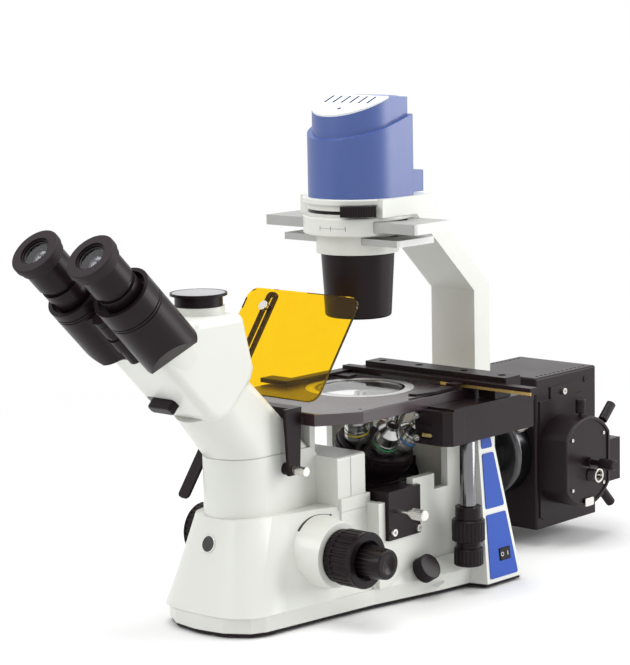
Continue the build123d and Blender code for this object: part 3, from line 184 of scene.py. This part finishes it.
def coating(name, colour, rough, grain=0.02, grain_size=0.5, drift=0.04, edge=0.5, level=0.5, coat=0.0,
            marks=None):
    """Paint or plastic with a drifting colour, varied roughness, fine grain, soft edges and printed marks."""
    made = Finish(name)
    patches = made.noise(60, 3)
    fine = made.noise(grain_size, 2)
    tint = made.blend(patches, shaded(colour, 1 - drift), shaded(colour, 1 + drift))
    if marks:
        tint = made.blend(marks(made), tint, ink)
    made.set(Base_Color=tint, Roughness=rough + (patches - 0.5) * 0.12 + (fine - 0.5) * 0.1,
             Specular_IOR_Level=level, Coat_Weight=coat, Coat_Roughness=0.15)
    made.relief(fine, grain, edge)
    return made.material


def near(value, middle, reach):
    """1 where a value lies within reach of the middle, else 0."""
    return value.math("COMPARE", value, middle, reach)


def tension_arrow(made):
    """A bent arrow on the right wall, round the focus axle.

    In polar coordinates round the axle, the band is where the radius lies near 36 mm and the angle
    lies within half a swing of its middle. The head starts at an angle and narrows as it reaches on.
    """
    axle_y, axle_z, arrow_radius, half_stroke = -125, 65, 36, 0.3
    swing_middle, half_swing, head_start, head_half = 1.83, 0.57, 1.28, 1.3
    x, y, z = (made.along(axis) * 1000 for axis in ((1, 0, 0), (0, 1, 0), (0, 0, 1)))
    y, z = y - axle_y, z - axle_z
    radius = y.math("SQRT", y * y + z * z)
    angle = y.math("ARCTAN2", z, y)
    band = near(radius, arrow_radius, half_stroke) * near(angle, swing_middle, half_swing)
    reach = (head_start - angle) * arrow_radius
    head = ((reach * -0.5 + head_half) > radius.math("ABSOLUTE", radius - arrow_radius)) * (reach > 0)
    return y.math("MINIMUM", (band + head) * (x > 50), 1)


def ring_ticks(made):
    """Three upright ticks joined by a thin line, placed by their angles round the optical axis."""
    row_height, rim_radius = 364.5, 53
    x, y, z = (made.along(axis) * 1000 for axis in ((1, 0, 0), (0, 1, 0), (0, 0, 1)))
    angle = x.math("ARCTAN2", y, x) * (180 / math.pi)
    ticks = near(angle, -91.7, 0.3) + near(angle, -78.3, 0.3) + near(angle, -61.6, 0.3)
    line = near(angle, -76.6, 15.1) * near(z, row_height, 0.15)
    rim = x.math("SQRT", x * x + y * y) > rim_radius
    return x.math("MINIMUM", (ticks * near(z, row_height, 2.4) + line) * rim, 1)


white_enamel, base_enamel, ring_enamel = (
    coating(name, enamel_colour, 0.33, grain=0.006, grain_size=1.4, drift=0.015, edge=0.8, coat=0.15,
            marks=marks)
    for name, marks in (("white_enamel", None), ("base_enamel", tension_arrow), ("ring_enamel", ring_ticks)))
print("white enamel", enamel_colour)

# %% [markdown]
# The blue lamp housing is moulded with a fine leather-like grain that scatters light, and so are the blue
# panels on the pillars. The grain is under half a millimetre, so it shows as a soft sheen from afar.

# %% Blue moulding
blue_colour = (0.036, 0.078, 0.285)
blue_grain = coating("blue_grain", blue_colour, 0.38, grain=0.02, grain_size=0.45, drift=0.06, edge=0.7,
                     level=0.85)
blue_panel = coating("blue_panel", (0.02, 0.075, 0.40), 0.5, grain=0.01, grain_size=0.45, drift=0.05,
                     edge=0.3, level=0.25)
print("blue moulding", blue_colour)

# %% [markdown]
# There are several blacks. The viewing tubes are satin anodised, the stage drive and lamp house have a
# crinkled powder coat, the knobs are moulded and a little glossier, and the eyecups are soft rubber. The
# stage plate is the smoothest and mirrors the light from above.
# A photograph of black parts is mostly highlights, so their roughness and grain matter more than colour.

# %% Blacks
warm_black = (0.0110, 0.0060, 0.0080)
satin_black = coating("satin_black", warm_black, 0.34, grain=0.008, grain_size=0.35, drift=0.15, edge=0.4,
                      level=0.16)
crinkle_black = coating("crinkle_black", warm_black, 0.33, grain=0.02, grain_size=0.6, drift=0.15, edge=0.6,
                        level=0.2)
moulded_black = coating("moulded_black", shaded(warm_black, 0.8), 0.28, grain=0.006, grain_size=0.5,
                        drift=0.1, edge=0.35, level=0.18)
rubber_black = coating("rubber_black", shaded(warm_black, 1.15), 0.6, grain=0.02, grain_size=0.3, drift=0.2,
                       edge=0.6, level=0.25)
stage_black = coating("stage_black", shaded(warm_black, 3.0), 0.25, grain=0.008, grain_size=0.35, drift=0.1,
                      edge=0.4, level=0.9)
print("blacks", satin_black.name, crinkle_black.name, moulded_black.name, rubber_black.name, stage_black.name)

# %% [markdown]
# Turned metal carries fine rings from the lathe. A noise that changes only along the turning axis draws
# them, both as bump and as small changes of roughness. Milled aluminium has its lines along the slide.
# The two slides are white at both ends, a painted highlight for the end faces that catch the light, and the
# ruled strip of the specimen holder is black beside the stage, so those three change their colour and metal
# at a place along X.

# %% Metals
def turned(name, colour, rough, axis, line=0.35, depth=0.004, edge=0.25):
    """Metal with fine lines square to an axis: a noise read along that axis only."""
    made = Finish(name)
    lines = made.node("ShaderNodeTexNoise", {"noise_dimensions": "1D"},
                      {"W": made.along(axis), "Scale": 1 / (line * mm), "Detail": 3.0})
    smudge = made.noise(25, 3)
    made.set(Base_Color=made.blend(smudge, shaded(colour, 0.94), shaded(colour, 1.04)), Metallic=1.0,
             Roughness=rough + (lines - 0.5) * 0.16 + (smudge - 0.5) * 0.08)
    made.relief(lines, depth, edge)
    return made.material


def slide_metal_lit_ends(name, middle, reach):
    """Milled aluminium with lines along the slide, and white past reach from its middle, in mm: a painted
    highlight for the lit end faces.
    """
    made = Finish(name)
    lines = made.node("ShaderNodeTexNoise", {"noise_dimensions": "1D"},
                      {"W": made.along((0, 1, 0)), "Scale": 1 / (0.3 * mm), "Detail": 3.0})
    smudge = made.noise(20, 3)
    # Past reach from the middle this mask is 0, and the slide turns white there: a painted highlight for its
    # lit end faces.
    ends = near(made.along((1, 0, 0)) * 1000, middle, reach)
    metal = made.blend(smudge, (0.36, 0.36, 0.35), (0.44, 0.44, 0.42))
    made.set(Base_Color=made.blend(ends, (0.72, 0.73, 0.70), metal), Metallic=ends * 0.75,
             Roughness=0.36 + (lines - 0.5) * 0.14)
    made.relief(lines, 0.004, 0.25)
    return made.material


def ruled_strip(name):
    """Black beside the stage, and brass where the ruled part begins, 58 mm to the right."""
    made = Finish(name)
    right = made.along((1, 0, 0)) > 0.058
    smudge = made.noise(12, 2)
    made.set(Base_Color=made.blend(right, (0.010, 0.008, 0.009), (0.70, 0.50, 0.20)), Metallic=right * 0.9,
             Roughness=0.32 + (smudge - 0.5) * 0.1)
    return made.material


lean = math.radians(21)
turret_axis = (math.sin(lean), 0, math.cos(lean))
filter_metal = slide_metal_lit_ends("filter_metal", -0.5, 96.5)
phase_metal = slide_metal_lit_ends("phase_metal", 1, 73)
nickel = turned("nickel", (0.70, 0.69, 0.66), 0.24, (1, 0, 0))
nickel_upright = turned("nickel_upright", (0.40, 0.40, 0.39), 0.25, (0, 0, 1))
chrome = turned("chrome", (0.50, 0.50, 0.49), 0.2, turret_axis, line=0.5)
dark_steel = turned("dark_steel", (0.20, 0.20, 0.21), 0.2, (0, 0, 1))
brass = turned("brass", (0.78, 0.58, 0.24), 0.3, (1, 0, 0))
ruled_brass = ruled_strip("ruled_brass")
stage_metal = turned("stage_metal", (0.74, 0.74, 0.73), 0.34, (0, 1, 0), line=0.4)
dark_chrome = turned("dark_chrome", (0.10, 0.10, 0.105), 0.22, (0, 1, 0))
pale_plate = coating("pale_plate", (0.72, 0.74, 0.76), 0.4, grain=0.01, grain_size=0.5, drift=0.03, edge=0.3)
print("metals", len(bpy.data.materials), "materials so far")

# %% [markdown]
# The amber shield is a sheet of cast acrylic that stops the exciting blue light from reaching the eyes.
# It is clear, so it takes its colour where light passes through its two faces, and faint polish marks show
# in its gloss. Its index is set lower than that of real acrylic, so that its faces mirror less of the white
# tent and its colour stays deep. The boards inside are green lacquer, which is an ordinary coating.

# %% Clear things
def clear(name, colour, rough, index):
    """Glass or acrylic: light goes through, with slow tint drift and slight polish marks."""
    made = Finish(name)
    haze = made.noise(18, 4)
    made.set(Base_Color=made.blend(haze, shaded(colour, 0.97), shaded(colour, 1.03)),
             Roughness=rough + haze * 0.02, IOR=index, Transmission_Weight=1.0)
    return made.material


amber_acrylic = clear("amber_acrylic", (1.0, 0.60, 0.0), 0.03, 1.22)
thin_glass = clear("thin_glass", (0.96, 0.97, 0.97), 0.03, 1.12)
lens_glass = clear("lens_glass", (0.86, 0.90, 0.93), 0.01, 1.6)
board_green = coating("board_green", (0.02, 0.16, 0.07), 0.4, grain=0.02, grain_size=0.8)
print("clear", amber_acrylic.name, lens_glass.name)

# %% [markdown]
# Every CAD part now gets its finish. One table from finish to part names shows at a glance what is made of
# what, and the print lists any part that was forgotten.

# %% Give every CAD part its finish
finishes = {
    white_enamel: "column_arm head",
    base_enamel: "main_body",
    ring_enamel: "slider_housing",
    blue_grain: "lamp_housing",
    blue_panel: "pillar_inlays",
    satin_black: "condenser_barrel tube_left tube_right eyepiece_left eyepiece_right port_cap hinge_pin "
                 "guide_bar specimen_holder holder_clamp shield_bracket revolver",
    crinkle_black: "stage_drive_box filter_module epi_lamp_house epi_lamp_module nosepiece_carriage "
                   "bottom_plate",
    moulded_black: "coarse_knobs fine_knobs tension_ring brightness_knob rocker_switch aperture_lever "
                   "light_lever stage_knob_upper stage_knob_lower lamp_knob_top lamp_knob_upper "
                   "lamp_knob_lower lamp_focus_rod",
    rubber_black: "eyecup_left eyecup_right feet",
    stage_black: "stage_plate",
    stage_metal: "stage_insert",
    nickel: "module_rod strap_thumbscrew shield_screws nickel_screws tube_screw focus_rail",
    chrome: "objectives",
    filter_metal: "filter_slide",
    phase_metal: "phase_slider",
    ruled_brass: "slider_scale",
    dark_chrome: "epi_tube",
    pale_plate: "housing_vent",
    amber_acrylic: "shield",
    thin_glass: "insert_glass",
    lens_glass: "eye_lens_left eye_lens_right light_path_glass",
    board_green: "circuit_boards",
}
dressed = set()
for material, names in finishes.items():
    for name in names.split():
        nodes[name].data.materials.clear()
        nodes[name].data.materials.append(material)
        dressed.add(name)
print("dressed", len(dressed), "left over", sorted(set(nodes) - dressed))

# %% [markdown]
# Most added pieces are turned or stamped on the real object, so two makers cover nearly all of them.
# `lathe` turns a profile round an axis. `stamped` raises an outline by a thickness. Both work out every
# point as whole arrays, a row of rings with one point more at each end, so `tube_faces` joins the rings
# and closes the ends for both, and each piece is solid.

# %% Piece makers
def unit(vector):
    """The same direction with length 1."""
    vector = np.asarray(vector, float)
    return vector / np.linalg.norm(vector)


def basis(axis, hint=(1.0, 0.0, 0.0)):
    """Three square directions: across, up and the axis itself, with across near the hint."""
    axis = unit(axis)
    across = np.asarray(hint, float) - np.dot(hint, axis) * axis
    if np.linalg.norm(across) < 1e-3:
        across = np.cross(axis, (0.0, 1.0, 0.0))
    across = unit(across)
    return across, np.cross(axis, across), axis


def piece(name, points, faces, material, body):
    """A mesh object from point and face arrays, in metres, that rides on a body."""
    mesh = bpy.data.meshes.new(name)
    mesh.from_pydata(points.tolist(), [], faces)
    mesh.materials.append(material)
    mesh.update()
    mesh.shade_smooth()
    mesh.set_sharp_from_angle(angle=math.radians(35))
    made = bpy.data.objects.new(name, mesh)
    bpy.context.collection.objects.link(made)
    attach(made, body)
    return made


def tube_faces(rings, steps):
    """Faces of a row of rings with steps points each, closed by two end points that come last.

    A quad joins points j and j + 1 of ring k to the same points of ring k + 1, and a fan of triangles
    joins the first and the last ring to their end points.
    """
    after = np.roll(np.arange(steps), -1)
    first_end, last_end, last_ring = rings * steps, rings * steps + 1, (rings - 1) * steps
    faces = [(k * steps + j, k * steps + after[j], (k + 1) * steps + after[j], (k + 1) * steps + j)
             for k in range(rings - 1) for j in range(steps)]
    faces += [(first_end, after[j], j) for j in range(steps)]
    faces += [(last_end, last_ring + j, last_ring + after[j]) for j in range(steps)]
    return faces


def lathe(name, profile, origin, axis, material, body, steps=64):
    """Turn a profile round an axis.

    Point (k, j) is the origin, plus height of profile point k along the axis, plus its radius
    times the direction at angle j of steps. The first and last profile points have radius 0.
    """
    across, up, axis = basis(axis)
    height, radius = np.asarray(profile, float).T
    angle = np.arange(steps) * 2 * math.pi / steps
    ring = np.cos(angle)[:, None] * across + np.sin(angle)[:, None] * up
    inner = np.asarray(origin) + height[1:-1, None, None] * axis + radius[1:-1, None, None] * ring
    ends = np.asarray(origin) + height[[0, -1], None] * axis
    points = np.vstack([inner.reshape(-1, 3), ends]) * mm
    return piece(name, points, tube_faces(len(profile) - 2, steps), material, body)


def stamped(name, outline, origin, across, normal, thickness, material, body, ease=0.12):
    """Raise a convex outline from a plane, with its upper edge eased.

    Each ring is the outline shrunk towards its centre by an inset and lifted by a height, and the
    two flat ends close at the centre.
    """
    across, up, normal = basis(normal, across)
    flat = np.asarray(outline, float)
    middle = flat.mean(axis=0)
    size = np.abs(flat - middle).max()
    rings = []
    for inset, height in ((0, 0), (0, thickness - ease), (ease, thickness)):
        spot = middle + (flat - middle) * (1 - inset / size)
        rings.append(spot[:, :1] * across + spot[:, 1:] * up + height * normal)
    centres = [middle[0] * across + middle[1] * up + height * normal for height in (0, thickness)]
    points = (np.vstack(rings + [centres]) + np.asarray(origin)) * mm
    return piece(name, points, tube_faces(len(rings), len(flat)), material, body)


def rounded(width, height, corner, steps=6):
    """Outline of a rectangle with round corners: a quarter circle at each corner, in turn."""
    angle = np.linspace(0, math.pi / 2, steps)
    arcs = []
    for quarter, (sx, sy) in enumerate(((1, 1), (-1, 1), (-1, -1), (1, -1))):
        swing = angle + quarter * math.pi / 2
        arcs.append(np.c_[sx * (width / 2 - corner) + corner * np.cos(swing),
                          sy * (height / 2 - corner) + corner * np.sin(swing)])
    return np.vstack(arcs)


def arc_band(radius, width, start, end, steps):
    """Outline of a bent stripe: out along the larger radius and back along the smaller one."""
    angle = np.radians(np.linspace(start, end, steps))
    there = np.c_[np.cos(angle), np.sin(angle)] * (radius + width / 2)
    back = np.c_[np.cos(angle), np.sin(angle)][::-1] * (radius - width / 2)
    return np.vstack([there, back])


print("makers ready")

# %% [markdown]
# The small pieces come next, each riding on the body that carries it, so that it moves with its joint. The
# front of the casting has a round seat with a bright rim and a plain dark face. Each eyepiece gets a coated
# front lens, which is a turned dome, with a dark ring round it, and the camera port gets its grey lid.

# %% Emblem, lenses and lid
def paint(name, colour, rough, level=0.5, metal=0.0):
    """A simple finish for a small piece: slow drift of colour and roughness."""
    made = Finish(name)
    patches = made.noise(8, 2)
    made.set(Base_Color=made.blend(patches, shaded(colour, 0.95), shaded(colour, 1.05)), Metallic=metal,
             Roughness=rough + (patches - 0.5) * 0.08, Specular_IOR_Level=level)
    return made.material


def dome(radius, low, rise, steps=8):
    """Profile of a lens: flat at low, then a rim, then a cap whose height falls with the radius squared."""
    rim = 0.8
    share = np.linspace(1, 0, steps)
    cap = np.c_[low + rim + rise * (1 - share ** 2), radius * share]
    return np.vstack([[(low, 0.0), (low, radius)], cap])


coated_lens = paint("coated_lens", (0.012, 0.008, 0.02), 0.06, level=1.0)
lid_grey = paint("lid_grey", (0.34, 0.34, 0.35), 0.45)
bright_steel = paint("bright_steel", (0.75, 0.75, 0.74), 0.2, metal=1.0)
print_black = paint("print_black", (0.02, 0.02, 0.02), 0.5)
print_white = paint("print_white", (0.75, 0.76, 0.74), 0.5)
print_grey = paint("print_grey", (0.42, 0.42, 0.41), 0.5)
# Dark blue painted shade: the strips in the vent slits and the spot in the small vent hole.
slit_blue = paint("slit_blue", (0.015, 0.03, 0.10), 0.6, level=0.2)
gold = paint("gold", (0.83, 0.58, 0.22), 0.3, metal=1.0)

emblem_seat, emblem_out = (0, -219.65, 82.5), (0, -0.951, 0.31)
lathe("emblem_rim", [(-1, 0), (-1, 8.4), (1.1, 8.4), (1.4, 8.1), (1.4, 7.5), (1.1, 7.3), (1.0, 0)],
      emblem_seat, emblem_out, bright_steel, "stand")
lathe("emblem_face", [(-0.8, 0), (-0.8, 7.3), (1.15, 7.3), (1.2, 7.1), (1.2, 0)],
      emblem_seat, emblem_out, print_black, "stand")
eye_out = np.array((0, -math.sqrt(0.5), math.sqrt(0.5)))
lens_radius = 12.9
for side, name in ((1, "right"), (-1, "left")):
    eye = np.array((side * 35.6, -391.3, 374.1))
    lathe("front_lens_" + name, dome(lens_radius, -11.0, 3.4), eye, eye_out, coated_lens, name + "_eyepiece")
    lathe("lens_ring_" + name, [(-11.5, 0), (-11.5, lens_radius), (-3.6, lens_radius), (-3.2, 12.6),
                                (-3.2, 11.4), (-10.6, 11.2), (-10.6, 0)],
          eye, eye_out, print_black, name + "_eyepiece")
port_low, port_radius = 320.5, 24.8
lathe("port_lid", [(port_low, 0), (port_low, port_radius), (port_low + 0.4, port_radius),
                   (port_low + 0.6, port_radius - 0.3), (port_low + 0.6, 0)],
      (0, -224.7, 0), (0, 0, 1), lid_grey, "port_cap")
print("emblem, lenses, lid")

# %% [markdown]
# Each objective wears three rings: a knurled grip, a coloured band for its power and a dark line near the
# tip. The turret leans by 21 degrees, and each axis leans again from the turret axis by the same angle, so
# the working objective stands upright. A grip could be a modelled cut for every notch, but a radius that
# ripples with the angle looks the same at this size and has few faces.

# %% Objective rings
turret_z = np.array(turret_axis)
turret_x = np.array((-math.cos(lean), 0, math.sin(lean)))
turret_y = np.cross(turret_z, turret_x)
turret_middle = np.array((19.605, 0, 146.474))
seat_radius = 21
red, yellow, green, blue, white = ((0.55, 0.08, 0.05), (0.70, 0.55, 0.05), (0.05, 0.30, 0.12),
                                   (0.05, 0.18, 0.45), (0.60, 0.60, 0.58))
objectives = ((red, 41.0), (yellow, 38.0), (green, 41.0), (blue, 34.0), (white, 40.0))


def knurl(name, radius, low, high, count, origin, axis, material, body):
    """A grip ring: its radius ripples by 0.25 mm, count times round, between eased ends."""
    ripple, ease = 0.25, 0.3
    across, up, axis = basis(axis)
    steps = count * 4
    angle = np.arange(steps) * 2 * math.pi / steps
    height = np.array((low, low + ease, high - ease, high))[:, None]
    swell = radius + ripple * np.cos(angle * count) * np.array((0, 1, 1, 0))[:, None]
    ring = np.cos(angle)[:, None] * across + np.sin(angle)[:, None] * up
    side = np.asarray(origin) + height[..., None] * axis + swell[..., None] * ring
    ends = np.asarray(origin) + np.array((low, high))[:, None] * axis
    points = np.vstack([side.reshape(-1, 3), ends]) * mm
    return piece(name, points, tube_faces(len(height), steps), material, body)


def thin_ring(low, high, radius, ease=0.0):
    """Profile of a flat ring, with its rim drawn in at both edges by a third of the ease."""
    rim = [(low + ease, radius), (high - ease, radius)]
    eased = [(low, radius - ease / 3), *rim, (high, radius - ease / 3)] if ease else rim
    return [(low, 0), *eased, (high, 0)]


for k, (band, length) in enumerate(objectives):
    turn_k = 2 * math.pi * k / len(objectives)
    radial = math.cos(turn_k) * turret_x + math.sin(turn_k) * turret_y
    seat = turret_middle + seat_radius * radial
    aim = math.sin(lean) * radial + math.cos(lean) * turret_z
    knurl("objective_grip_%d" % k, 12.45, 7.0, 12.5, 48, seat, aim, nickel_upright, "turret")
    lathe("objective_band_%d" % k, thin_ring(14.6, 16.75, 12.55, 0.15), seat, aim,
          paint("band_%d" % k, band, 0.4), "turret")
    lathe("objective_line_%d" % k, thin_ring(length - 12.4, length - 11.6, 11.65), seat, aim, print_black,
          "turret")
print("objectives", len(objectives))

# %% [markdown]
# The drive box carries an outlined slot with a brass pointer, and a polished sleeve runs down to the
# coaxial knobs. The lamp house has two plugs, a connector shell with gold pins and a spring latch. Of the
# slot only a thin outline shows, so four bars draw it, and nothing has to be cut.

# %% Stage drive and lamp house details
to_right, to_front, to_top = (1, 0, 0), (0, -1, 0), (0, 0, 1)


def frame_bars(name, x0, x1, z0, z1, y, width, material, body):
    """Four thin bars round an opening on a face that looks to the front."""
    centre = ((x0 + x1) / 2, y, (z0 + z1) / 2)
    bars = ((x0, x1, z1 - width, z1), (x0, x1, z0, z0 + width),
            (x0, x0 + width, z0, z1), (x1 - width, x1, z0, z1))
    for number, (left, right, low, high) in enumerate(bars):
        corners = ((left, low), (left, high), (right, high), (right, low))
        outline = [(x - centre[0], centre[2] - z) for x, z in corners]
        stamped("%s_%d" % (name, number), outline, centre, to_right, to_front, 0.25, material, body,
                ease=0.05)


drive_face = -7.5
frame_bars("slot_outline", 80, 98, 159.8, 166.8, drive_face, 0.5, moulded_black, "stand")
pointer_outline = ((6.2, 0.2), (4.6, 1.8), (-6.2, 1.8), (-6.2, -1.8), (4.6, -1.8), (6.2, -0.2))
stamped("pointer", pointer_outline, (92.3, drive_face, 163.3), to_right, to_front, 1.0, brass, "stand")
lathe("coaxial_sleeve", [(88.3, 0), (88.3, 7.6), (88.7, 8.0), (152.8, 8.0), (153.4, 7.6), (153.4, 0)],
      (108.9, 34, 0), to_top, dark_steel, "stage_knob_upper")
for number, (y, z) in enumerate(((311.1, 169.9), (234.2, 31.9))):
    lathe("house_plug_%d" % number, [(-0.5, 0), (-0.5, 3.6), (0.5, 3.6), (0.9, 3.1), (1.0, 0)],
          (51.5, y, z), to_right, moulded_black, "stand")
socket_y, socket_z, pin_offset = 274.5, 75.5, 2.2
lathe("connector_shell", [(86, 0), (86, 7.7), (96.0, 7.7), (96.4, 7.3), (96.4, 6.1), (96.0, 5.7), (88.8, 5.7),
                          (88.8, 0)], (0, socket_y, socket_z), to_right, nickel, "stand")
for back in (0, 1):
    for upper in (0, 1):
        pin_foot = (88, socket_y + pin_offset * (2 * back - 1), socket_z + pin_offset * (2 * upper - 1))
        lathe("pin_%d_%d" % (back, upper), [(0, 0), (0, 0.8), (5.5, 0.8), (6.2, 0.3), (6.2, 0)],
              pin_foot, to_right, gold, "stand")
stamped("latch", rounded(15, 9, 2), (86.6, 268.6, 47), (0, 1, 0), to_right, 1.6, nickel, "stand", ease=0.4)
print("drive and lamp details")

# %% [markdown]
# The six slits of the vent plate look into a dark housing. They are cut through the plate, but under a white
# tent their floor stays pale, so a dark strip of painted shade lies in each slit, just under its rim and on
# the slope of the roof. A dark spot, painted shade as well, marks the small hole.

# %% Vent slits
roof_top, roof_slope, slit_count, slit_pitch = 491, 0.395, 6, 10.9
roof_out = unit((0, -roof_slope, 1))


def on_roof(x, y):
    """The point of the sloping roof over a place, which drops by the slope towards the front."""
    return np.array((x, y, roof_top + roof_slope * y))


# Each strip is painted shade, a dark sheet just under the rim of a slit.
for number in range(slit_count):
    strip_foot = on_roof(number * slit_pitch - 25.5, -9.5) - 0.65 * roof_out
    stamped("slit_%d" % number, rounded(2.94, 16.0, 0.3, 2), strip_foot, to_right, roof_out, 0.5, slit_blue,
            "stand", ease=0.05)
lathe("vent_hole", [(-0.4, 0), (-0.4, 2.3), (0.03, 2.3), (0.05, 2.2), (0.05, 0)], on_roof(4.4, -29), roof_out,
      slit_blue, "stand")
print("vent slits", slit_count)

# %% [markdown]
# The marks near the brightness knob and on the rocker are flat prints a tenth of a millimetre high: a
# wedge that grows with the light, a stroke and a ring. `stamped` closes its ends at the centre, which only
# suits convex outlines, so the ring is made of twelve short bent stripes that just overlap.

# %% Small prints
to_back = (0, 1, 0)
ledge_out = unit((15, 0, 9))
knob_foot = np.array((87.2, -12, 28.3))
wedge_corners = np.array(((8.7, 3.2, -14.6), (10.3, 9.9, -17.2), (9.2, 22.2, -15.4), (7.8, 23.8, -12.9)))
wedge_across, wedge_up, _ = basis(ledge_out, to_back)
stamped("wedge", np.c_[wedge_corners @ wedge_across, wedge_corners @ wedge_up], knob_foot, to_back, ledge_out,
        0.15, print_grey, "stand", ease=0.04)

switch_out = np.array((0.9912, -0.02805, 0.12914))
switch_along = np.array((0.0283, 0.9996, 0))
switch_up = np.cross(switch_out, switch_along)
switch_face = np.array((116, 55, 5)) + 30 * switch_along + 26 * switch_up + 1.5 * switch_out
symbol_offset = 4.2 * switch_along
stamped("on_stroke", rounded(0.8, 4.2, 0.3), switch_face + symbol_offset, switch_along, switch_out, 0.12,
        print_white, "rocker_switch", ease=0.03)
stripe_count = 12
for number in range(stripe_count):
    start = number * 360 / stripe_count - 1
    stamped("off_ring_%d" % number, arc_band(1.9, 0.6, start, start + 32, 4), switch_face - symbol_offset,
            switch_along, switch_out, 0.12, print_white, "rocker_switch", ease=0.03)
print("prints", 2 + stripe_count, "pieces")

# %% [markdown]
# The object stands in a light tent: white all round, on pale paper. The background is white only to rays
# from the camera, in reflections and behind clear parts, so it adds no light to the object, and a dimmer
# fill lights the forms. A plain white world would be simpler, but it would wash the enamel out. The paper
# keeps the shadow and turns clear further out, so that no edge of it shows.

# %% World and floor
tent_fill = 0.52
floor_solid = 650
floor_reach = 1300


def background():
    """White behind everything for camera, glossy and transmitted rays, and a dimmer fill for the rest."""
    world = bpy.data.worlds.new("light_tent")
    bpy.context.scene.world = world
    world.use_nodes = True
    tree = world.node_tree
    tree.nodes.clear()
    path = tree.nodes.new("ShaderNodeLightPath")
    output = tree.nodes.new("ShaderNodeOutputWorld")
    fill = tree.nodes.new("ShaderNodeBackground")
    white = tree.nodes.new("ShaderNodeBackground")
    mix = tree.nodes.new("ShaderNodeMixShader")
    seen = tree.nodes.new("ShaderNodeMath")
    both = tree.nodes.new("ShaderNodeMath")
    seen.operation = both.operation = "MAXIMUM"
    fill.inputs["Strength"].default_value = tent_fill
    white.inputs["Strength"].default_value = 1.0
    fill.inputs["Color"].default_value = white.inputs["Color"].default_value = (1, 1, 1, 1)
    tree.links.new(path.outputs["Is Camera Ray"], seen.inputs[0])
    tree.links.new(path.outputs["Is Glossy Ray"], seen.inputs[1])
    tree.links.new(seen.outputs[0], both.inputs[0])
    tree.links.new(path.outputs["Is Transmission Ray"], both.inputs[1])
    tree.links.new(both.outputs[0], mix.inputs[0])
    tree.links.new(fill.outputs[0], mix.inputs[1])
    tree.links.new(white.outputs[0], mix.inputs[2])
    tree.links.new(mix.outputs[0], output.inputs[0])


def floor_finish():
    """Pale paper near the object that fades into the white background further out."""
    made = Finish("floor_paper")
    grain = made.noise(3, 2)
    made.set(Base_Color=made.blend(grain, (0.86, 0.86, 0.86), (0.88, 0.88, 0.88)), Roughness=0.9,
             Specular_IOR_Level=0.1)
    far = made.node("ShaderNodeVectorMath", {"operation": "LENGTH"}, {0: made.place()}, output="Value")
    fade = made.node("ShaderNodeMapRange", {"interpolation_type": "SMOOTHSTEP"},
                     {"Value": far, "From Min": floor_solid * mm, "From Max": floor_reach * mm})
    open_air = made.node("ShaderNodeBsdfTransparent")
    paper = Tap(made, made.shader.outputs[0])
    mixed = made.node("ShaderNodeMixShader", None, {0: fade, 1: paper, 2: open_air})
    made.tree.links.new(mixed.socket, made.tree.nodes["Material Output"].inputs["Surface"])
    return made.material


def floor_disc(rings, steps):
    """A flat disc: point (k, j) is the reach times share k, from 0.02 to 1, in the direction of angle j."""
    share, angle = np.meshgrid(np.linspace(0.02, 1, rings), np.arange(steps) * 2 * math.pi / steps,
                               indexing="ij")
    points = np.stack([np.cos(angle), np.sin(angle), 0 * share], -1) * (share * floor_reach * mm)[..., None]
    after = np.roll(np.arange(steps), -1)
    faces = [(k * steps + j, (k + 1) * steps + j, (k + 1) * steps + after[j], k * steps + after[j])
             for k in range(rings - 1) for j in range(steps)]
    mesh = bpy.data.meshes.new("floor")
    mesh.from_pydata(points.reshape(-1, 3).tolist(), [], faces + [tuple(range(steps))])
    mesh.materials.append(floor_finish())
    return bpy.data.objects.new("floor", mesh)


background()
floor = floor_disc(12, 48)
bpy.context.collection.objects.link(floor)
print("floor", len(floor.data.polygons), "faces")

# %% [markdown]
# Three soft boxes model the forms. The one in front, to the left, is the key light. The one behind, to the
# right, puts the long highlight on the blue housing, and the one overhead brightens the stage and the tops.
# Large boxes give soft shadow edges, and at this level a colour renders about as it is written.

# %% Soft boxes
def soft_box(name, place, aim, width, height, watts):
    """A rectangular lamp at a place, facing the point it aims at."""
    lamp = bpy.data.lights.new(name, "AREA")
    lamp.shape = "RECTANGLE"
    lamp.size, lamp.size_y = width * mm, height * mm
    lamp.energy = watts
    across, up, back = basis(np.subtract(place, aim))
    grid = np.eye(4)
    grid[:3, 0], grid[:3, 1], grid[:3, 2] = across, up, back
    grid[:3, 3] = np.asarray(place) * mm
    held = bpy.data.objects.new(name, lamp)
    bpy.context.collection.objects.link(held)
    held.matrix_world = Matrix(grid.tolist())


object_middle = (0, -30, 230)
soft_box("key", (-500, -1900, 1500), object_middle, 1300, 1300, 19)
soft_box("side", (1500, 1350, 800), object_middle, 1300, 1500, 29.5)
soft_box("top", (0, -100, 2000), object_middle, 1500, 1500, 30)
bpy.context.scene.view_settings.view_transform = "Standard"
print("soft boxes", len(bpy.data.lights))
